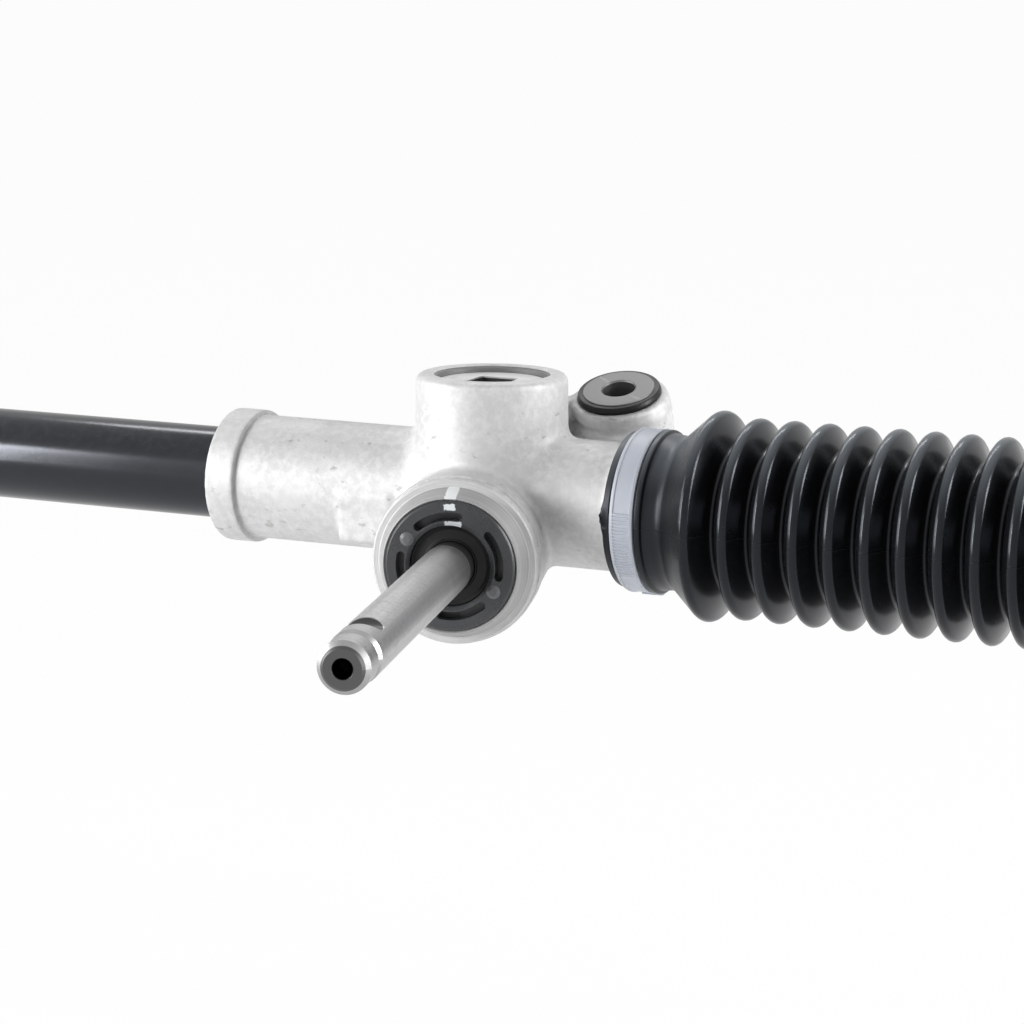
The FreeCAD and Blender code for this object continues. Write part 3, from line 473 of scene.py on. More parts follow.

# %% [markdown]
# The housing is die-cast aluminium: a pale, satin skin with fine grain, soft clouds of tone, a few
# dark scuffs and stains, and the grey faces that were turned after casting. The turned neck is a
# darker grey with strong rings, a painted reflection over real lathe lines, and the tower's bore
# above the plug carries painted shade. The turned faces are found by their place along the pinion's
# axis, so one material covers the whole casting.

# %% Cast aluminium
RIM_FACE = 43.6
NECK_FACE = 44.1


def cast_aluminium():
    """The casting's skin, its turned boss and painted shade on the tower's threaded bore."""
    tree, shader = finish("cast_aluminium", metallic=0.2)
    skin = effect(tree, grain, Size=0.55, Wander=14.0)
    clouds = effect(tree, grain, Size=1.0, Wander=2.6)
    scuffs = effect(tree, spots, Size=4.2, Amount=0.46)["Mask"]
    centre = tuple(PINION_POINT + TOWER_FOOT)
    lines = effect(tree, lathe_lines, Point=centre, Axis=tuple(PINION_LINE), Pitch=0.4)
    turned = remap(tree, lines["Along"], RIM_FACE, RIM_FACE + 0.3)
    neck = remap(tree, lines["Along"], NECK_FACE, NECK_FACE + 0.2)
    colour = greys(tree, remap(tree, skin["Tone"], 0.35, 0.65), 0.58, 0.65)
    colour = mix(tree, remap(tree, clouds["Tone"], 0.40, 0.64), colour, grey(0.70))
    colour = mix(tree, times(tree, scuffs, 0.45), colour, (0.26, 0.26, 0.255, 1))
    colour = mix(tree, turned, colour, greys(tree, lines["Tone"], 0.58, 0.68))
    # Painted reflection: the turned neck is a darker grey with strong ring contrast, standing for the dark
    # reflections of turned metal; the rings are real lathe lines.
    colour = mix(tree, neck, colour, greys(tree, lines["Tone"], 0.36, 0.46))
    # Painted shade: the bore wall between plug and rim is darkened as the shade inside the tower's mouth,
    # with thread lines in it.
    bore = effect(tree, lathe_lines, Point=tuple(TOWER_FOOT), Axis=tuple(UP), Pitch=0.5)
    near = remap(tree, bore["Reach"], 19.3, 19.7, 1.0, 0.0)
    inside = times(tree, near, remap(tree, bore["Along"], 24, 26))
    colour = mix(tree, inside, colour, greys(tree, bore["Tone"], 0.10, 0.26))
    mark = effect(
        tree, paint_dab, Point=centre, Across=ACROSS, Low=21.6, High=25.2, Half_Width=1.75)["Mask"]
    colour = mix(tree, times(tree, mark, neck), colour, (0.85, 0.87, 0.88, 1))
    rough = remap(tree, skin["Tone"], 0.3, 0.7, 0.56, 0.48)
    rough = plus(tree, rough, times(tree, scuffs, 0.2))
    ridges = times(tree, lines["Height"], times(tree, turned, 0.25))
    pits = times(tree, scuffs, -0.6)
    height = plus(tree, ridges, plus(tree, skin["Height"], pits))
    surface(tree, shader, colour, rough, height, 0.10)


cast_aluminium()
print("made", list(FINISHES))

# %% [markdown]
# The tube is steel with satin black paint. Sprayed paint has a faint orange-peel waviness, and a
# shop-worn part has a little dust on top and rubbed edges.

# %% Black paint


def black_paint():
    """Sprayed paint on the tube."""
    tree, shader = finish("black_paint", specular=0.45)
    shader.inputs["Coat Weight"].default_value = 0.15
    shader.inputs["Coat Roughness"].default_value = 0.22
    shader.inputs["Specular Tint"].default_value = COOL
    skin = effect(tree, grain, Size=1.1, Wander=20.0)
    lying = effect(tree, dust, Amount=0.10)["Mask"]
    edges = effect(tree, wear, Start=0.56, Amount=0.5)["Mask"]
    colour = greys(tree, skin["Tone"], 0.006, 0.011, 0.15)
    colour = mix(tree, lying, colour, grey(0.16, 0.05))
    colour = mix(tree, edges, colour, grey(0.25))
    surface(tree, shader, colour, remap(tree, skin["Tone"], 0.3, 0.7, 0.17, 0.21), skin["Height"], 0.022)


black_paint()
print("made", list(FINISHES))

# %% [markdown]
# The boots are moulded in a glossy black elastomer. Light runs along each fold as a thin line, and
# the mould's parting line shows as a tiny step at mid height. A few soft scuffs dull the gloss, and
# what faces up is painted a paler blue grey, a painted sheen of the light from above.

# %% Boot elastomer
RIGHT_FOLDS = 74
LEFT_FOLDS = -407


def boot_black():
    """Moulded rubber with duller cuffs, a parting line and a painted sheen on top."""
    tree, shader = finish("boot_black", specular=0.3)
    shader.inputs["Specular Tint"].default_value = COOL
    skin = effect(tree, grain, Size=2.2, Wander=9.0)
    scuffs = effect(tree, spots, Size=3.0, Amount=0.35)["Mask"]
    lying = effect(tree, dust, Amount=0.05)["Mask"]
    colour = greys(tree, skin["Tone"], 0.007, 0.011, 0.12)
    colour = mix(tree, lying, colour, grey(0.1, 0.05))
    # Painted sheen: faces that look up are lightened to a pale blue grey, for the light from above.
    top_sheen = remap(tree, facing_up(tree), 0.35, 1.0)
    colour = mix(tree, top_sheen, colour, grey(0.13, 0.1))
    place = axes_of(tree, millimetres(tree))
    past = minus(tree, place["X"], TOWER_FOOT.x)
    before_right = remap(tree, past, RIGHT_FOLDS, RIGHT_FOLDS + 5, 1.0, 0.0)
    cuffs = times(tree, before_right, remap(tree, past, LEFT_FOLDS - 5, LEFT_FOLDS))
    rough = sums(tree, "MULTIPLY_ADD", cuffs, 0.14, remap(tree, skin["Tone"], 0.3, 0.7, 0.19, 0.24))
    rough = sums(tree, "MULTIPLY_ADD", scuffs, 0.12, rough)
    from_seam = sums(tree, "ABSOLUTE", minus(tree, place["Z"], TOWER_FOOT.z - 1.0))
    seam = remap(tree, from_seam, 0.12, 0.35, 1.0, 0.0)
    height = sums(tree, "MULTIPLY_ADD", seam, 1.6, times(tree, skin["Height"], 0.25))
    surface(tree, shader, colour, rough, height, 0.09)


boot_black()
print("made", list(FINISHES))

# %% [markdown]
# Soft rubber, black moulded plastic and natural nylon differ mostly in gloss and in how much light
# goes into them. One recipe covers the plain plastics, with its colours and roughness given.

# %% Rubbers and plastics


def brighter(colour, gain, lift):
    """A colour as it looks where an edge is rubbed."""
    return tuple(min(1.0, part * gain + lift) for part in colour[:3]) + (1,)


def moulded(name, dark, light, rough, depth=0.03, dusty=0.12, inside=0.0, specular=0.5):
    """A moulded plastic or rubber with fine grain, clouds of tone and a little dust."""
    tree, shader = finish(name, specular=specular)
    skin = effect(tree, grain, Size=0.7, Wander=6.0)
    lying = effect(tree, dust, Amount=dusty)["Mask"]
    edges = effect(tree, wear, Start=0.55, Amount=0.25)["Mask"]
    colour = mix(tree, skin["Tone"], dark, light)
    colour = mix(tree, edges, colour, brighter(light, 1.6, 0.02))
    colour = mix(tree, lying, colour, (0.3, 0.3, 0.3, 1))
    shader.inputs["Subsurface Weight"].default_value = inside
    shader.inputs["Subsurface Radius"].default_value = (0.001, 0.0012, 0.0015)
    rough = remap(tree, skin["Tone"], 0.3, 0.7, rough, rough + 0.1)
    surface(tree, shader, colour, rough, skin["Height"], depth)


moulded("black_rubber", grey(0.007), grey(0.012), 0.36, dusty=0.05, specular=0.25)
moulded("tie_nylon", (0.50, 0.53, 0.60, 1), (0.58, 0.61, 0.68, 1), 0.36, 0.02, 0.05, 0.15)
moulded("bush_plastic", (0.58, 0.57, 0.52, 1), (0.70, 0.69, 0.64, 1), 0.42)
print("made", list(FINISHES)[-3:])

# %% [markdown]
# The pinion plug is black like the boots but satin, and carries two short strokes of white marking
# paint that show whether it has moved. The mask comes from the place on the ring, not from a
# picture, so it stays put from any side.

# %% Plug finish and its paint marks


def plug_black():
    """Satin black with two strokes of marking paint."""
    tree, shader = finish("plug_black")
    skin = effect(tree, grain, Size=0.5, Wander=7.0)
    centre = PINION_POINT + TOWER_FOOT
    aside = centre + Vector(ACROSS) * 1.1
    outer = effect(
        tree, paint_dab, Point=tuple(centre), Across=ACROSS, Low=18.3, High=20.4, Half_Width=1.7)["Mask"]
    inner = effect(
        tree, paint_dab, Point=tuple(aside), Across=ACROSS, Low=9.8, High=14.6, Half_Width=2.6)["Mask"]
    edges = effect(tree, wear, Start=0.54, Amount=0.5)["Mask"]
    colour = greys(tree, skin["Tone"], 0.036, 0.055, 0.07)
    colour = mix(tree, edges, colour, grey(0.12))
    strokes = sums(tree, "MAXIMUM", outer, times(tree, inner, 0.8))
    colour = mix(tree, strokes, colour, WHITE_MARK)
    surface(tree, shader, colour, remap(tree, skin["Tone"], 0.3, 0.7, 0.24, 0.36), skin["Height"], 0.03)


plug_black()
moulded("plug_dot", grey(0.10, 0.03), grey(0.16, 0.03), 0.16)
print("made", list(FINISHES)[-2:])

# %% [markdown]
# Steel parts share one recipe too: a metal with lathe lines about its own axis, slight stains and
# bright edges. The axis is what differs: the pinion's for the shaft, the bush's for its sleeve,
# the rack's for everything that is turned about it.

# %% Steels
# Where the input shaft's colour changes along its axis, in millimetres, and the colours there: the
# dull journal, the bright edge of its step, painted shade on the floor of the notch, the sawn end, and
# painted shade deep in the centre hole.
SHAFT_BANDS = [
    (0, 57.0, 9.0, grey(0.15)), (57.0, 57.9, 9.0, grey(0.60)), (158.0, 173.5, 8.05, grey(0.08)),
    (189.5, 193.0, 6.6, grey(0.11)), (180.0, 192.0, 3.2, grey(0.01)),
]


def banded(tree, colour, along, reach, bands):
    """Change a colour between two places along an axis, within a radius."""
    for low, high, within, paint_there in bands:
        after = remap(tree, along, low, low + 0.15)
        before = remap(tree, along, high - 0.15, high, 1.0, 0.0)
        inner = remap(tree, reach, within - 0.15, within, 1.0, 0.0)
        there = times(tree, after, times(tree, before, inner))
        colour = mix(tree, there, colour, paint_there)
    return colour


def steel(name, dark, light, rough, axis=RIGHT, point=Vector(), pitch=0.4, depth=0.02, stain=0.3,
          bands=()):
    """A turned or plated steel, with bands of other colours where they are asked for."""
    tree, shader = finish(name, metallic=1.0)
    lines = effect(tree, lathe_lines, Point=tuple(point + TOWER_FOOT), Axis=tuple(axis), Pitch=pitch)
    skin = effect(tree, grain, Size=0.4, Wander=8.0)
    marks = effect(tree, spots, Size=1.8, Amount=stain)["Mask"]
    edges = effect(tree, wear, Start=0.54, Amount=0.6)["Mask"]
    tone = sums(tree, "MULTIPLY_ADD", lines["Tone"], 0.5, times(tree, skin["Tone"], 0.5))
    colour = mix(tree, tone, dark, light)
    colour = mix(tree, times(tree, marks, 0.5), colour, (0.10, 0.09, 0.08, 1))
    colour = mix(tree, edges, colour, brighter(light, 1.25, 0.05))
    colour = banded(tree, colour, lines["Along"], lines["Reach"], bands)
    height = sums(tree, "MULTIPLY_ADD", skin["Height"], 0.4, lines["Height"])
    surface(tree, shader, colour, sums(tree, "MULTIPLY_ADD", tone, 0.12, rough), height, depth)


steel("machined_steel", grey(0.40), grey(0.56), 0.28)
steel("shaft_steel", grey(0.32), grey(0.42), 0.34, *PINION[::-1], 1.6, 0.012, 0.42, SHAFT_BANDS)
steel("plated_steel", grey(0.16), grey(0.20), 0.46, *BUSH[::-1], 0.8, 0.01)
# Painted shade: the band darkens the yoke plug's square socket nearly to black.
steel(
    "bright_zinc", grey(0.50), grey(0.62), 0.40, UP, Vector(), 0.8, 0.01, 0.5,
    [(20, 39.2, 10.2, grey(0.06))])
steel("bearing_steel", grey(0.50), grey(0.66), 0.16, *PINION[::-1], 0.2, 0.01)
steel("bronze", (0.42, 0.28, 0.14, 1), (0.60, 0.42, 0.22, 1), 0.38)
steel("spring_steel", grey(0.12), grey(0.22), 0.32)
steel("rod_steel", grey(0.07), grey(0.12), 0.42, depth=0.03)
print("made", len(FINISHES), "finishes")

# %% [markdown]
# Every CAD node takes the finish of its own slot. Nodes whose shape is already right, such as the
# rack bar, the bearing and the ball joints, keep their mesh and need nothing more. The rest are
# replaced further down by pieces with more detail.

# %% Dress the CAD nodes
SLOT_OF = {entry["node"]: entry["material_slot"] for entry in frame["record"]["subparts"]}


def paint(piece, material):
    """Give every face of a piece one material."""
    piece.data.materials.clear()
    piece.data.materials.append(material)


for name, thing in frame["nodes"].items():
    paint(thing, FINISHES[SLOT_OF[name]])
paint(frame["nodes"]["pinion_shaft"], FINISHES["shaft_steel"])
print("dressed", len(frame["nodes"]), "nodes")

# %% [markdown]
# Most pieces of a steering rack are turned, so most of the mesh work is one helper: a closed
# outline of places and radii is spun round an axis. A second helper rounds the outline's corners
# first, because no real edge is razor sharp and the small radii are what catches the light.

# %% Outlines and rings


def rounded(corners, steps=5):
    """Replace each corner (along, radius, fillet) by a short arc."""
    points = []
    count = len(corners)
    for index, (along, reach, fillet) in enumerate(corners):
        here = Vector((along, reach))
        if fillet <= 0:
            points.append(here)
            continue
        before = Vector(corners[index - 1][:2]) - here
        after = Vector(corners[(index + 1) % count][:2]) - here
        half = before.angle(after) / 2
        back = min(fillet / math.tan(half), before.length * 0.49, after.length * 0.49)
        fillet = back * math.tan(half)
        centre = here + (before.normalized() + after.normalized()).normalized() * fillet / math.sin(half)
        start = here + before.normalized() * back - centre
        sweep = start.angle_signed(here + after.normalized() * back - centre)
        for step in range(steps + 1):
            turn = Matrix.Rotation(-sweep * step / steps, 2)
            points.append(centre + turn @ start)
    return points


def about_axis(along, reach, angle):
    """A point at a distance from the X axis, turned round it."""
    return Vector((along, reach * math.cos(angle), reach * math.sin(angle)))


def bridge(shape, first, second):
    """Faces between two rings of corners."""
    for index in range(len(first)):
        after = (index + 1) % len(first)
        corners = list(dict.fromkeys((first[index], first[after], second[after], second[index])))
        if len(corners) > 2:
            shape.faces.new(corners)


def closed_mesh(name, shape, place=None):
    """A mesh from a closed shape, with its faces turned outwards."""
    bmesh.ops.recalc_face_normals(shape, faces=shape.faces)
    if place:
        shape.transform(place)
    mesh = bpy.data.meshes.new(name)
    shape.to_mesh(mesh)
    shape.free()
    return mesh


def spun_mesh(name, outline, place, steps=128):
    """Spin a closed outline of (along, radius) points round the frame's X axis."""
    shape = bmesh.new()
    loops = []
    for along, reach in outline:
        if reach < 1e-6:
            loops.append([shape.verts.new(place @ Vector((along, 0, 0)))] * steps)
            continue
        angles = (math.tau * index / steps for index in range(steps))
        loops.append([shape.verts.new(place @ about_axis(along, reach, angle)) for angle in angles])
    for first, second in zip(loops, loops[1:] + loops[:1]):
        bridge(shape, first, second)
    return closed_mesh(name, shape)


print("ring helpers ready")

# %% [markdown]
# A finished mesh becomes a piece: it gets its finish and slot, rides on a body and stands for the
# plain CAD nodes that it hides. Only creases sharper than 38 degrees stay hard when it's shaded
# smooth. Cuts are exact Booleans, and each is turned into plain mesh at once.

# %% Pieces and cuts
CREASE = math.radians(38)


def new_piece(name, mesh, slot, body=None, stands_for=()):
    """Put a finished mesh into the scene as a named piece."""
    piece = in_scene(name, mesh)
    mesh.polygons.foreach_set("use_smooth", [True] * len(mesh.polygons))
    mesh.set_sharp_from_angle(angle=CREASE)
    paint(piece, FINISHES[slot])
    if body:
        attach(piece, body)
    if stands_for:
        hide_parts(*stands_for)
    return piece


def spun(name, corners, place, slot, body=None, stands_for=(), steps=128):
    """A turned piece with rounded edges."""
    mesh = spun_mesh(name, rounded(corners), place, steps)
    print(f"{name}: {len(mesh.vertices)} vertices")
    return new_piece(name, mesh, slot, body, stands_for)


def baked(piece):
    """Turn a piece's modifiers into plain mesh."""
    bpy.context.view_layer.update()
    seen = piece.evaluated_get(bpy.context.evaluated_depsgraph_get())
    mesh = bpy.data.meshes.new_from_object(seen)
    piece.modifiers.clear()
    piece.data = mesh


def carved(piece, cutter_mesh, operation="DIFFERENCE"):
    """Cut a piece with a mesh and throw the cutter away."""
    cutter = in_scene("cutter", cutter_mesh)
    step = piece.modifiers.new("cut", "BOOLEAN")
    step.operation = operation
    step.solver = "EXACT"
    step.object = cutter
    baked(piece)
    bpy.data.objects.remove(cutter)


print("piece helpers ready")

# %% [markdown]
# The black tube is a plain steel pipe, pressed into the collar. Its far end shows its wall, with
# the edges broken by a small chamfer.

# %% The rack tube
spun("black_tube", [
    (-400, 13.25, 0.5), (-400, 16, 0.8), (-62.05, 16, 0.3), (-62.05, 13.25, 0.3),
], RACK_AXIS, "black_paint", "housing", ["rack_tube"])

# %% [markdown]
# The housing is the heart of the picture: barrel, tower, pinion boss and bush lug run into one
# another with soft fillets, which no edge bevel can make. Think of clay on a fine grid: every grid
# point holds its distance to the skin, shapes are added with a blend wherever they come near each
# other, and the skin is then drawn through the points at distance zero.

# %% Clay on a grid


class Clay:
    """Distances to a skin on a grid of points, in millimetres from the tower's foot."""

    def __init__(self, low, high, step):
        self.low = np.array(low, float)
        self.step = step
        counts = np.ceil((np.array(high) - self.low) / step).astype(int) + 1
        self.axes = [self.low[axis] + step * np.arange(counts[axis]) for axis in range(3)]
        self.field = np.full(counts, AIR, np.float32)

    def window(self, low, high, margin=11.0):
        """The part of the grid near a shape, and its coordinates."""
        ranges = [
            slice(*np.searchsorted(axis, (start - margin, end + margin)))
            for axis, start, end in zip(self.axes, low, high)
        ]
        grid = np.ix_(*(axis[part] for axis, part in zip(self.axes, ranges)))
        return tuple(ranges), grid

    def add(self, shape, blend):
        """Add a shape and fill the corner it makes with the rest by a fillet."""
        measure, low, high = shape
        part, (x, y, z) = self.window(low, high)
        old = self.field[part]
        new = measure(x, y, z)
        share = np.clip(0.5 + (old - new) / (2 * blend), 0, 1)
        self.field[part] = old + (new - old) * share - blend * share * (1 - share)

    def carve(self, shape):
        """Take a shape away."""
        measure, low, high = shape
        part, (x, y, z) = self.window(low, high, 3.0)
        self.field[part] = np.maximum(self.field[part], -measure(x, y, z))


def drum(point, axis, ends, radii, edge=1.0):
    """A turned shape between two places on an axis, with two radii and rounded edges."""
    low_end, high_end = ends
    tips = np.array([point + axis * low_end, point + axis * high_end])
    reach = max(radii)

    def measure(x, y, z):
        px, py, pz = x - point.x, y - point.y, z - point.z
        along = px * axis.x + py * axis.y + pz * axis.z
        out = np.sqrt(np.maximum(px * px + py * py + pz * pz - along * along, 0))
        share = np.clip((along - low_end) / (high_end - low_end), 0, 1)
        past = np.abs(along - (low_end + high_end) / 2) - (high_end - low_end) / 2 + edge
        wide = out - (radii[0] + (radii[1] - radii[0]) * share) + edge
        corner = np.hypot(np.maximum(past, 0), np.maximum(wide, 0))
        return corner + np.minimum(np.maximum(past, wide), 0) - edge

    return measure, tips.min(0) - reach, tips.max(0) + reach


def slab(centre, half, edge=1.0):
    """A rounded block."""
    def measure(x, y, z):
        parts = [
            np.abs(value - middle) - size + edge for value, middle, size in zip((x, y, z), centre, half)]
        outside = np.sqrt(sum(np.maximum(part, 0) ** 2 for part in parts))
        return outside + np.minimum(np.maximum(np.maximum(parts[0], parts[1]), parts[2]), 0) - edge

    return measure, np.array(centre) - half, np.array(centre) + half


VOXEL = 0.6
AIR = 30.0
clay = Clay((-101, -62, -46), (67, 62, 46), VOXEL)
print("grid of", clay.field.shape, "points,", VOXEL, "mm apart")

# %% [markdown]
# The shapes follow the casting: a barrel with a collar where the tube goes in, the yoke tower on
# top, the pinion boss across it with its blind tunnel behind, and the lug for the mount bush on a
# web of its own. Larger blends make the soft valleys between the main forms.

# %% Build up the casting
MIDDLE = (Vector(), RIGHT)
TOWER = (Vector(), UP)
for line, ends, radii, edge, blend in [
    (MIDDLE, (-97, 64), (21.4, 21.2), 0.6, 1.0), (MIDDLE, (50, 64), (23.8, 23.8), 1.5, 2.0),
    (TOWER, (-12, 42), (26.3, 25.4), 2.4, 6.0), (PINION, (-40, 12), (17, 17), 5.0, 4.0),
    (PINION, (4, 40.6), (25.6, 28.0), 1.4, 3.2), (PINION, (30, 51), (27.6, 27.6), 0.6, 1.0),
    (BUSH, (-36.8, -3.4), (15.6, 15.6), 1.2, 3.2), (BUSH, (-8.0, -3.0), (16.3, 16.3), 1.0, 1.5),
    ((BUSH_POINT + Vector((6, 0, 0)), BUSH_LINE), (-36, -4.2), (11.5, 11.5), 4.5, 3.0),
]:
    clay.add(drum(*line, ends, radii, edge), blend)
clay.add(slab((33.6, 19, 7), (14, 18, 12), 3.0), 4.0)
clay.add(slab((16.4, 25, 12.5), (2.5, 11, 18.5), 1.5), 2.5)
clay.add(drum(*MIDDLE, (-98, -87.0), (23.1, 23.1), 0.5), 0.8)
clay.add(slab((-37.4, -10.6, -7.2), (10, 11, 8.8), 1.6), 2.2)
print("clay inside the skin:", int((clay.field < 0).sum() * VOXEL ** 3 / 1000), "cubic centimetres")

# %% [markdown]
# The hidden ways for the rack, tube, gear and bearing are hollowed out in the same way, so the
# casting is a real shell and not a block when it is seen from an open end.

# %% Hollow the casting
for line, ends, bore in [
    (MIDDLE, (-200, 100), 13.5), (MIDDLE, (-200, -62), 16.0), (TOWER, (0, 12), 18.9),
    (PINION, (-34, 20), 11.5), (PINION, (20, 34), 20.0), (BUSH, (-60, 20), 13.5),
]:
    clay.carve(drum(*line, ends, (bore, bore), 0.1))
print("clay left:", int((clay.field < 0).sum() * VOXEL ** 3 / 1000), "cubic centimetres")

# %% [markdown]
# Drawing the skin is a job for the volume library that comes with Blender. The faint steps of the
# grid are then brushed out by a Smooth modifier, as a fettler would with emery cloth.

# %% Draw the skin
import openvdb

volume = openvdb.FloatGrid(AIR)
volume.copyFromArray(clay.field)
skin_points, skin_faces = volume.convertToQuads(isovalue=0.0)
skin_points = (skin_points * clay.step + clay.low + np.array(TOWER_FOOT)) * MM
housing_mesh = bpy.data.meshes.new("housing_casting")
housing_mesh.from_pydata(skin_points.tolist(), [], skin_faces.tolist())
casting = in_scene("housing_casting", housing_mesh)
brush = casting.modifiers.new("brush", "SMOOTH")
brush.factor = 0.5
brush.iterations = 5
baked(casting)
fixing = bmesh.new()
fixing.from_mesh(casting.data)
bmesh.ops.recalc_face_normals(fixing, faces=fixing.faces)
fixing.to_mesh(casting.data)
fixing.free()
print("skin:", len(casting.data.vertices), "vertices")

# %% [markdown]
# After casting, the housing goes to the lathe: the tower's mouth and the boss are bored, and the
# boss's rim and tapered neck are turned, which leaves crisp steps that the soft skin can't show.
# The cutters are turned shapes too, and one Boolean takes them all away.

# %% Turn and bore the casting


def joined(name, meshes):
    """Several meshes as one."""
    shape = bmesh.new()
    for mesh in meshes:
        shape.from_mesh(mesh)
        bpy.data.meshes.remove(mesh)
    whole = bpy.data.meshes.new(name)
    shape.to_mesh(whole)
    shape.free()
    return whole


tower_tool = rounded([
    (11.0, 0, 0), (11.0, 18.9, 0), (40.9, 18.9, 0.3), (42.4, 20.4, 0), (60, 20.4, 0), (60, 0, 0)], 3)
boss_tool = rounded([
    (40.0, 40, 0), (40.0, 27.3, 0.35), (43.5, 27.3, 0.5), (44.0, 26.8, 0.4), (44.0, 24.85, 0.6),
    (50.0, 22.6, 0.4), (50.4, 21.9, 0), (50.4, 20, 0), (70, 20, 0), (70, 40, 0)], 3)
collar_tool = rounded([(-87.3, 26, 0), (-87.3, 21.3, 0.15), (-86.6, 21.3, 0.3), (-84, 26, 0)], 3)
plug_tool = rounded([
    (32.5, 0, 0), (32.5, 21.6, 0), (49.8, 21.6, 0.2), (50.5, 22.3, 0), (60, 22.3, 0), (60, 0, 0)], 3)
carved(casting, joined("turning_tools", [
    spun_mesh("tower_tool", tower_tool, TOWER_AXIS, 160),
    spun_mesh("boss_tool", boss_tool, PINION_AXIS, 180),
    spun_mesh("collar_tool", collar_tool, RACK_AXIS, 160),
]))
carved(casting, spun_mesh("plug_tool", plug_tool, PINION_AXIS, 180))
casting.data.polygons.foreach_set("use_smooth", [True] * len(casting.data.polygons))
casting.data.set_sharp_from_angle(angle=math.radians(40))
paint(casting, FINISHES["cast_aluminium"])
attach(casting, "housing")
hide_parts("pinion_housing")
print("casting:", len(casting.data.polygons), "faces")

# %% [markdown]
# The yoke plug closes the tower. It sits a little below the rim, has a chamfered edge, a shallow
# groove and a square socket for the tool that sets the rack's play.

# %% The yoke plug
yoke_cap = spun("yoke_cap", [
    (28.6, 0, 0), (28.6, 18.9, 0.4), (38.6, 18.9, 0.2), (39.6, 17.9, 0.4), (39.6, 0, 0),
], TOWER_AXIS, "bright_zinc", "housing", ["yoke_plug"])


def block_mesh(name, low, high, place, edge, segments=3):
    """A block between two corners with all edges rounded."""
    shape = bmesh.new()
    bmesh.ops.create_cube(shape, size=1)
    for corner in shape.verts:
        corner.co = Vector([
            start if value < 0 else end for value, start, end in zip(corner.co, low, high)])
    bmesh.ops.bevel(
        shape, geom=list(shape.edges), offset=edge, segments=segments, profile=0.5, affect="EDGES")
    return closed_mesh(name, shape, place)


carved(yoke_cap, block_mesh("socket", (33.6, -7, -7), (50, 7, 7), TOWER_AXIS, 0.6))
yoke_cap.data.set_sharp_from_angle(angle=CREASE)
print("socket cut:", len(yoke_cap.data.polygons), "faces")

# %% [markdown]
# The pinion plug is a moulded or pressed ring with four curved slots for a peg spanner. Each slot
# is a band bent round the axis with round ends, so its cutter is drawn as a bent outline.

# %% The pinion plug
pinion_plug = spun("slotted_plug", [
    (32, 13.3, 0.3), (32, 21.55, 0.3), (50.2, 21.55, 0.5), (51, 20.8, 0.4), (51, 14.6, 0.5),
    (50.3, 13.3, 0.4),
], PINION_AXIS, "plug_black", "housing", ["pinion_plug"], 160)


def arc(centre, reach, first, last, count):
    """Points on an arc between two angles."""
    turns = (first + (last - first) * index / (count - 1) for index in range(count))
    return [centre + Vector((math.cos(turn), math.sin(turn))) * reach for turn in turns]


def slot_cutter(middle, mean, half_width, half_angle, low, high):
    """A curved slot with round ends, as a closed prism."""
    hub = Vector((0, 0))
    near, far = middle - half_angle, middle + half_angle
    first_end, last_end = arc(hub, mean, near, far, 2)
    outline = arc(hub, mean + half_width, near, far, 13)
    outline += arc(last_end, half_width, far, far + math.pi, 9)[1:-1]
    outline += arc(hub, mean - half_width, far, near, 13)
    outline += arc(first_end, half_width, near - math.pi, near, 9)[1:-1]
    shape = bmesh.new()
    floors, tops = ([shape.verts.new((along, *point)) for point in outline] for along in (low, high))
    shape.faces.new(floors)
    shape.faces.new(tops[::-1])
    bridge(shape, floors, tops)
    return closed_mesh("slot", shape, PINION_AXIS)


SLOT_TURN = math.radians(15)
SLOT_RING = 16.4
for quarter in range(4):
    middle = SLOT_TURN + quarter * math.pi / 2
    carved(pinion_plug, slot_cutter(middle, SLOT_RING, 1.4, math.radians(25), 46, 60))
pinion_plug.data.set_sharp_from_angle(angle=CREASE)
print("plug with slots:", len(pinion_plug.data.polygons), "faces")

# %% [markdown]
# Round the input shaft sits a lip seal: a black rubber ring with a groove and a raised lip. The
# two raised dots on the plug are the ends of its ejector pins.

# %% The seal and the plug's dots
spun("seal_lip", [
    (41, 7.95, 0.3), (41, 13.28, 0.3), (49.2, 13.28, 0.3), (48.5, 11.8, 0.8), (48.9, 8.9, 0.8),
    (49.7, 8.4, 0.3), (49.3, 7.95, 0.2),
], PINION_AXIS, "black_rubber", "housing", ["pinion_seal"])
for number, turn in ((1, math.radians(149)), (2, math.radians(332))):
    spot = PINION_AXIS @ Matrix.Translation(about_axis(0, SLOT_RING, turn))
    spun(f"plug_dot_{number}", [
        (50.5, 0, 0), (50.5, 2.3, 0), (51.1, 2.3, 0.1), (51.8, 1.2, 0.8), (51.8, 0, 0),
    ], spot, "plug_dot", "housing", steps=32)

# %% [markdown]
# The mount bush is a steel sleeve with a flange, bonded into rubber. The rubber bulges out round
# under the flange, which is what makes the bush look soft although its metal is flat.

# %% The mount bush
spun("bush_sleeve", [
    (-39.8, 5.6, 0.4), (-39.8, 8.5, 0.5), (-0.7, 8.5, 0.1), (-0.7, 12.3, 0.2), (0, 12.3, 0.3), (0, 6.0, 0.3),
    (-0.5, 5.6, 0.2),
], BUSH_AXIS, "plated_steel", "housing", ["mount_bush_sleeve"], steps=125)
spun("bush_rubber", [
    (-36.8, 8.5, 0.3), (-36.8, 13.5, 0.8), (-3.0, 13.5, 0.1), (-3.0, 14.2, 0.3), (-1.8, 14.4, 0.8),
    (-0.5, 13.9, 0.5), (-0.4, 12.3, 0.2), (-0.7, 8.5, 0.1),
], BUSH_AXIS, "black_rubber", "housing", ["mount_bush_rubber"])

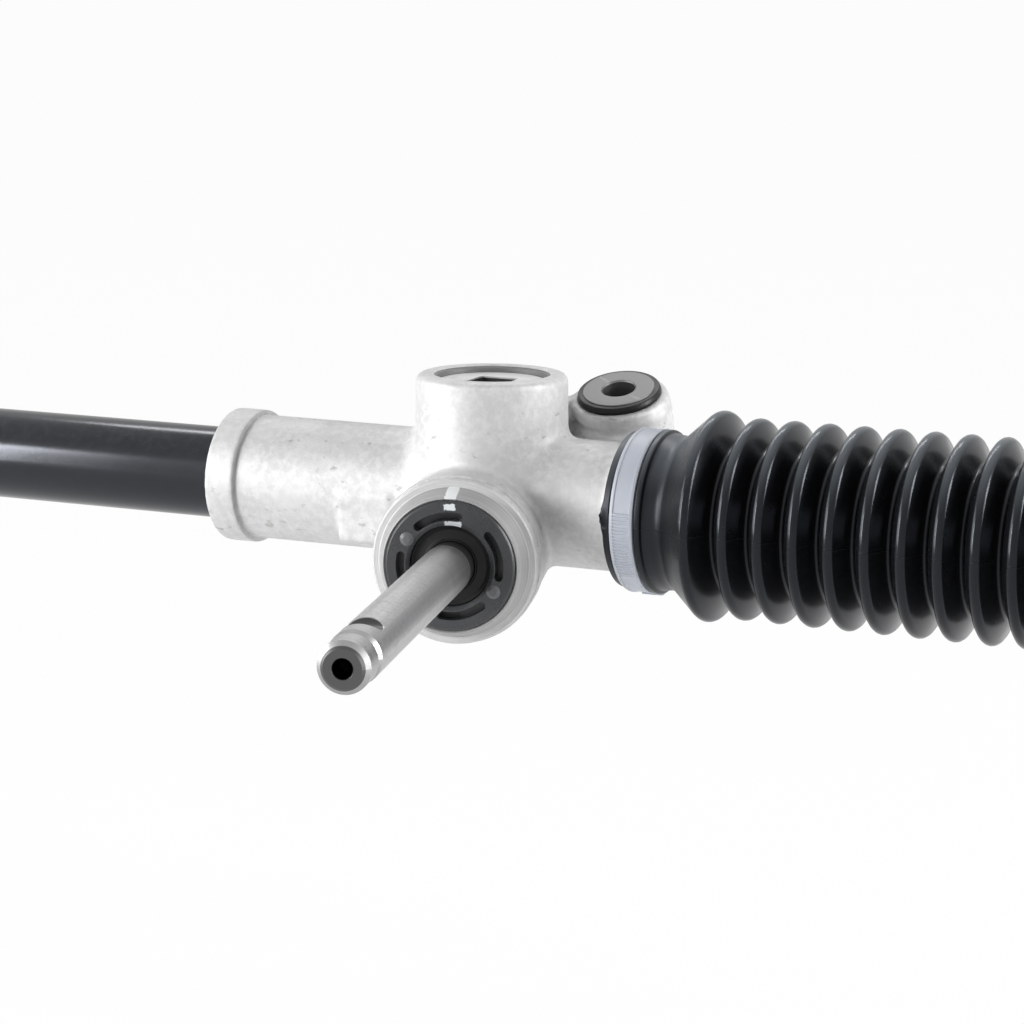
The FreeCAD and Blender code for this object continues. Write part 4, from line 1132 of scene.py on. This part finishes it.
# %% [markdown]
# A boot is a tube of folds between a wide cuff and a small one. Its outline zigzags with round
# crests and tighter valleys. Rounding a corner lowers it, so each corner is first pushed out by as
# much as its arc will take back.

# %% The boot's outline
PITCH = 11.7
FULL_FOLDS = 11
TAPER_FOLDS = 3
CREST_ROUND = 2.1
VALLEY_ROUND = 1.1
WALL = 1.5
TO_FIRST_CREST = 31.3
SMALL_CUFF = 12
BOOTS = {
    "right": dict(lip=50.6, seat=23.8, crest=33.0, valley=24.5),
    "left": dict(lip=384.0, seat=16.0, crest=29.0, valley=21.0),
}


def pushed_out(depth):
    """How far crest and valley corners must overshoot so that their arcs end at the right radius."""
    half = math.atan(PITCH / 2 / depth)
    for _ in range(30):
        spare = 1 / math.sin(half) - 1
        half = math.atan(PITCH / 2 / (depth + (CREST_ROUND + VALLEY_ROUND) * spare))
    spare = 1 / math.sin(half) - 1
    return CREST_ROUND * spare, VALLEY_ROUND * spare


def fold_corners(lip, crest, valley):
    """The corners of every fold, the last ones shrinking to the small cuff."""
    corners = []
    place = lip + TO_FIRST_CREST
    for fold in range(FULL_FOLDS + TAPER_FOLDS):
        share = max(0, fold - FULL_FOLDS + 1) / TAPER_FOLDS
        top = crest + (21.0 - crest) * share
        bottom = valley + (14.5 - valley) * share
        over, under = pushed_out(top - bottom)
        corners.append((place, top + over, CREST_ROUND))
        corners.append((place + PITCH / 2, bottom - under, VALLEY_ROUND))
        place += PITCH
    return corners, place


def boot_outlines(side):
    """The outer and inner lines of a boot, and where its small cuff starts."""
    sizes = BOOTS[side]
    lip = sizes["lip"]
    cuff = sizes["seat"] + 2.2
    folds, small = fold_corners(lip, sizes["crest"], sizes["valley"])
    outer = [
        (lip, cuff - 0.2, 0.7), (lip + 2.2, cuff + 0.2, 0.4), (lip + 2.8, cuff, 0.3), (lip + 11.2, cuff, 0.2),
        (lip + 11.3, cuff + 1.1, 0.6), (lip + 13.2, cuff + 1.1, 0.7), (lip + 13.8, cuff, 0.5),
        (lip + 15.0, cuff - 0.2, 0.5), (lip + 19.4, cuff - 0.7, 9.0),
    ] + folds + [(small, 9.4, 0.8), (small + SMALL_CUFF, 9.4, 0.6)]
    inner = [(lip, sizes["seat"], 0), (lip + 16.4, sizes["seat"], 0), (lip + 20.4, cuff - 0.9 - WALL, 0)]
    inner += [(along, reach - WALL, fillet) for along, reach, fillet in folds]
    inner += [(small, 7.2, 0), (small + SMALL_CUFF, 7.2, 0)]
    lines = []
    for corners in (outer, inner):
        start, end = corners[0], corners[-1]
        fenced = [(start[0], 0, 0)] + corners + [(end[0], 0, 0)]
        lines.append([tuple(point) for point in rounded(fenced, 6)[1:-1]])
    return lines[0], lines[1], small


for side in BOOTS:
    outer_line, _, small_cuff = boot_outlines(side)
    print(side, "boot outline:", len(outer_line), "points; small cuff at", round(small_cuff, 1), "mm")

# %% [markdown]
# The boot has to follow three motions: the rack pulls it out and in, and the tie rod bends it two
# ways. The boot is made of three matched lengths that meet at valley bottoms.

# %% Spin and split the boots


def between(line, low, high):
    """The stretch of a line from one place to another, with its end points worked out."""
    places = [point[0] for point in line]
    reaches = [point[1] for point in line]
    middle = [point for point in line if low < point[0] < high]
    first = (low, float(np.interp(low, places, reaches))) if low > places[0] else None
    last = (high, float(np.interp(high, places, reaches))) if high < places[-1] else None
    return ([first] if first else [p for p in line if p[0] <= low]) + middle + (
        [last] if last else [p for p in line if p[0] >= high])


def boot_length(side, name, low, high):
    """One closed length of a boot."""
    outer, inner, _ = boot_outlines(side)
    ring = between(outer, low, high) + between(inner, low, high)[::-1]
    mesh = spun_mesh(name, ring, SIDES[side][0], 144)
    return new_piece(name, mesh, "boot_black", None, [f"boot_{side}"])


FLASH_TURN = 4
FLASH_SPREAD = 13


def roughen_lip(piece, side):
    """Leave a scrap of moulding flash on the lip, on the side that faces the input shaft."""
    lip = on_rack(SIDES[side][1] * BOOTS[side]["lip"])
    rng = np.random.default_rng(7)
    for corner in piece.data.vertices:
        offset = corner.co - lip
        turn = math.degrees(math.atan2(offset.z, -offset.y))
        if abs(offset.x) < 0.9 * MM and abs(turn - FLASH_TURN) < FLASH_SPREAD:
            fade = 1 - abs(turn - FLASH_TURN) / FLASH_SPREAD
            corner.co.x -= SIDES[side][1] * rng.uniform(0.2, 1.5) * fade * MM
            corner.co.y -= rng.uniform(0, 0.5) * fade * MM


for side, (place, sign) in SIDES.items():
    start = BOOTS[side]["lip"]
    valley = start + TO_FIRST_CREST + PITCH / 2
    small = boot_outlines(side)[2]
    splits = [start, valley + 7 * PITCH, valley + 9 * PITCH, small + SMALL_CUFF]
    names = [f"boot_{side}_folds", f"boot_{side}_bend", f"boot_{side}_end"]
    lengths = [boot_length(side, name, low, high) for name, low, high in zip(names, splits, splits[1:])]
    roughen_lip(lengths[0], side)
    joints = [("housing", "rack"), ("rack", f"seat_{side}"), (f"seat_{side}", f"rod_{side}")]
    stops = [start + 22, splits[1], splits[2], small]
    for piece, (first, second), low, high in zip(lengths, joints, stops, stops[1:]):
        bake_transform(piece)
    print(side, "boot:", sum(len(piece.data.vertices) for piece in lengths), "vertices")

# %% [markdown]
# The large tie is a pale nylon strap: two smooth rails with fine ratchet teeth between them where
# the tail has been pulled through, and a box-shaped head with the cut tail in it. The teeth are
# made by waving the strap's radius with the angle, which costs nothing and keeps it one piece.

# %% The large ties


def strap_mesh(name, start, bore, width, place, teeth_from, teeth_to):
    """A strap round the cuff, with ratchet teeth over part of the turn."""
    profile = [
        (0.0, 0.15, 0), (0.15, 1.1, 0), (0.5, 1.25, 0), (1.2, 1.25, 0), (1.4, 1.0, 1), (2.2, 1.0, 1),
        (width - 2.2, 1.0, 1), (width - 1.4, 1.0, 1), (width - 1.2, 1.25, 0), (width - 0.5, 1.25, 0),
        (width - 0.15, 1.1, 0), (width, 0.15, 0), (width - 0.2, 0.0, 0), (0.2, 0.0, 0),
    ]
    steps = 900
    shape = bmesh.new()
    loops = []
    for index in range(steps):
        angle = math.tau * index / steps
        toothed = teeth_from < math.degrees(angle) < teeth_to
        wave = 0.3 * (index % 6 < 3) if toothed else 0.0
        loops.append([
            shape.verts.new(place @ about_axis(start + along, bore + out + wave * flag, angle))
            for along, out, flag in profile])
    for first, second in zip(loops, loops[1:] + loops[:1]):
        bridge(shape, first, second)
    return closed_mesh(name, shape)


HEAD_TURN = math.radians(-85)
for side, (place, _) in SIDES.items():
    start = BOOTS[side]["lip"] + 2.9
    bore = BOOTS[side]["seat"] + 2.2
    strap = strap_mesh(f"strap_{side}", start, bore, 8.1, place, 172, 222)
    new_piece(f"boot_strap_{side}", strap, "tie_nylon", "housing", [f"boot_tie_{side}"])
    turned_head = place @ Matrix.Rotation(HEAD_TURN, 4, "X")
    head = block_mesh("head", (start, bore + 0.6, 0), (start + 8.1, bore + 3.3, 7.9), turned_head, 0.9)
    new_piece(f"strap_head_{side}", head, "tie_nylon", "housing")
    tail = block_mesh(
        "tail", (start + 1.4, bore + 1.4, -2.6), (start + 6.7, bore + 2.3, 0.8), turned_head, 0.3)
    new_piece(f"strap_tail_{side}", tail, "tie_nylon", "housing")
print("ties made for", ", ".join(SIDES))

# %% [markdown]
# The small end of each boot is held by a spring band with rolled edges and two ears to squeeze
# with pliers. It rides on the tie rod.

# %% The spring clips
for side, (place, _) in SIDES.items():
    cuff = boot_outlines(side)[2] + 2.5
    spun(f"spring_band_{side}", [
        (cuff, 9.4, 0.2), (cuff, 10.7, 0.5), (cuff + 0.9, 10.8, 0.3), (cuff + 1.3, 10.3, 0.3),
        (cuff + 5.7, 10.3, 0.3), (cuff + 6.1, 10.8, 0.3), (cuff + 7, 10.7, 0.5), (cuff + 7, 9.4, 0.2),
    ], place, "spring_steel", f"rod_{side}", [f"boot_clip_{side}"])
    for number, turn in ((1, 20), (2, 62)):
        ear_place = place @ Matrix.Rotation(math.radians(turn), 4, "X")
        ear = block_mesh("ear", (cuff + 1.5, 9.8, -0.5), (cuff + 5.5, 10.79, 0.5), ear_place, 0.25, 2)
        new_piece(f"clip_ear_{side}_{number}", ear, "spring_steel", f"rod_{side}")

# %% [markdown]
# Past the boot the tie rod is plain, then threaded for the outer rod end. The thread is a grid
# wrapped round the rod whose radius rises and falls once per pitch and once per turn: that slope
# is what turns rings into a screw.

# %% The tie rod threads
THREAD_PITCH = 1.5


def thread_mesh(name, start, end, crest, depth, place, turns_per_ring=36, samples=8):
    """A closed screw thread between two places."""
    rows = int((end - start) / THREAD_PITCH * samples)
    shape = bmesh.new()
    loops = []
    for row in range(rows + 1):
        along = start + (end - start) * row / rows
        taper = min(1.0, (end - along) / 1.5 + 0.25)
        loop = []
        for index in range(turns_per_ring):
            angle = math.tau * index / turns_per_ring
            phase = ((along - start) / THREAD_PITCH - index / turns_per_ring) % 1.0
            rise = min(1.0, 2.4 * min(phase, 1 - phase))
            reach = crest - depth + depth * rise * taper
            loop.append(shape.verts.new(place @ about_axis(along, reach, angle)))
        loops.append(loop)
    for first, second in zip(loops, loops[1:]):
        bridge(shape, first, second)
    shape.faces.new(loops[0][::-1])
    shape.faces.new(loops[-1])
    return closed_mesh(name, shape)


BALLS = {"right": 147.0, "left": 485.0}
BALL_RADIUS = 11.5
THREAD_START = 236.9
for side, (place, _) in SIDES.items():
    ball = BALLS[side]
    turns = [math.radians(angle) for angle in range(0, 151, 6)]
    outline = [(ball - BALL_RADIUS * math.cos(turn), BALL_RADIUS * math.sin(turn)) for turn in turns]
    outline += [tuple(point) for point in rounded([
        (ball + 12.5, 5.8, 2.0), (ball + 22, 5.8, 2.0), (ball + 25, 7.2, 1.0),
        (ball + THREAD_START, 7.2, 0.2), (ball + THREAD_START, 0, 0)])]
    mesh = spun_mesh(f"rod_bar_{side}", outline, place, 64)
    new_piece(f"rod_bar_{side}", mesh, "rod_steel", f"rod_{side}", [f"tie_rod_{side}"])
    screw = thread_mesh(f"rod_thread_{side}", ball + THREAD_START, ball + 282, 7.0, 0.85, place)
    new_piece(f"rod_thread_{side}", screw, "rod_steel", f"rod_{side}")
    print(side, "thread:", len(screw.vertices), "vertices")

# %% [markdown]
# A jam nut is a hexagon whose corners are turned off to a cone on both faces. Cutting a hexagonal
# bar with a turned blank gives exactly the curved chamfer lines of a real nut.

# %% The jam nuts


def hexagon_mesh(name, low, high, across, place):
    """A six-sided bar."""
    shape = bmesh.new()
    reach = across / 2 / math.cos(math.radians(30))
    ends = [[], []]
    for index in range(6):
        for loop, along in zip(ends, (low, high)):
            loop.append(shape.verts.new(about_axis(along, reach, math.radians(60 * index))))
    shape.faces.new(ends[0])
    shape.faces.new(ends[1][::-1])
    bridge(shape, *ends)
    return closed_mesh(name, shape, place)


for side, (place, _) in SIDES.items():
    foot = BALLS[side] + 228
    nut = spun(f"lock_nut_{side}", [
        (foot, 7.2, 0.3), (foot, 10.3, 0.1), (foot + 1.4, 12.7, 0), (foot + 7.6, 12.7, 0),
        (foot + 9, 10.3, 0.1), (foot + 9, 7.2, 0.3),
    ], place, "plated_steel", f"rod_{side}", [f"jam_nut_{side}"], 72)
    carved(nut, hexagon_mesh("hexagon", foot - 1, foot + 10, 22.0, place), "INTERSECT")
    nut.data.set_sharp_from_angle(angle=math.radians(30))

# %% [markdown]
# Catalogue pictures stand over white paper that shows next to no edge or horizon. The paper looks
# white to the camera and in reflections, which is what polished metal and glossy rubber need, but
# to all other light it's plain paper and keeps a soft shadow. It lies lower than the part, because
# the tie rods swing down past the housing.

# %% The floor


def seen_rays(tree):
    """One for rays from the camera, from reflections and through glass, and zero for the rest."""
    rays = node(tree, "LightPath")
    mirrored = sums(tree, "MAXIMUM", rays.outputs["Is Glossy Ray"], rays.outputs["Is Transmission Ray"])
    return sums(tree, "MAXIMUM", rays.outputs["Is Camera Ray"], mirrored)


def white_paper():
    """Paper that keeps a soft shadow and looks white to the camera."""
    material = bpy.data.materials.new("white_paper")
    material.use_nodes = True
    tree = material.node_tree
    tree.nodes.clear()
    paper = node(tree, "BsdfDiffuse")
    paper.inputs[0].default_value = (0.92, 0.92, 0.92, 1)
    shine = node(tree, "Emission")
    shine.inputs["Strength"].default_value = 1.0
    seen = times(tree, seen_rays(tree), 0.97)
    mixed = node(tree, "MixShader")
    feed(tree, mixed.inputs[0], seen)
    tree.links.new(paper.outputs[0], mixed.inputs[1])
    tree.links.new(shine.outputs[0], mixed.inputs[2])
    tree.links.new(mixed.outputs[0], node(tree, "OutputMaterial").inputs[0])
    return material


SWING = 0.11
FLOOR = cad_box[0][2] - 0.0004 - SWING
REACH = 60


def floor_mesh():
    """A flat sheet below the lowest swing of the rods."""
    sheet = bpy.data.meshes.new("paper_floor")
    corners = [(x * REACH, y * REACH, FLOOR) for x, y in ((-1, -1), (1, -1), (1, 1), (-1, 1))]
    sheet.from_pydata(corners, [], [(0, 1, 2, 3)])
    sheet.materials.append(white_paper())
    return sheet


paper_floor = in_scene("paper_floor", floor_mesh())
print("floor at", round(FLOOR, 4))

# %% [markdown]
# The light is soft and at a plain level. A long lamp behind and above draws the upper edge of the
# tube, a tall one at the left models the casting, a narrow one in front makes the lines on tube and
# folds, and a tall one at the right fills in. The world is white to look at and nearly dark as a
# light, for the same reason as the paper.

# %% Lamps and world


def lamp(name, place, size, power):
    """A softbox that looks at the tower."""
    light = bpy.data.lights.new(name, "AREA")
    light.shape = "RECTANGLE"
    light.size, light.size_y = size
    light.energy = power
    holder = in_scene(name, light)
    holder.location = Vector(place) + TOWER_FOOT * MM
    holder.rotation_euler = (-Vector(place)).to_track_quat("-Z", "Y").to_euler()


lamp("top_softbox", (-0.25, 0.70, 0.92), (1.0, 0.14), 3.8)
lamp("left_softbox", (-1.25, -0.55, 0.34), (0.5, 0.9), 8.5)
lamp("front_strip", (-1.02, -1.14, 0.28), (0.20, 0.84), 16.0)
lamp("right_softbox", (1.15, 0.12, 0.30), (0.35, 0.9), 15.0)


def white_world():
    """A world that is white to look at and gives a low, even light."""
    world = bpy.data.worlds.new("white_world")
    bpy.context.scene.world = world
    world.use_nodes = True
    tree = world.node_tree
    tree.nodes.clear()
    even = node(tree, "Background")
    even.inputs["Strength"].default_value = 0.14
    white = node(tree, "Background")
    white.inputs["Strength"].default_value = 1.0
    mixed = node(tree, "MixShader")
    feed(tree, mixed.inputs[0], seen_rays(tree))
    tree.links.new(even.outputs[0], mixed.inputs[1])
    tree.links.new(white.outputs[0], mixed.inputs[2])
    tree.links.new(mixed.outputs[0], node(tree, "OutputWorld").inputs[0])
    return world


print("world:", white_world().name)
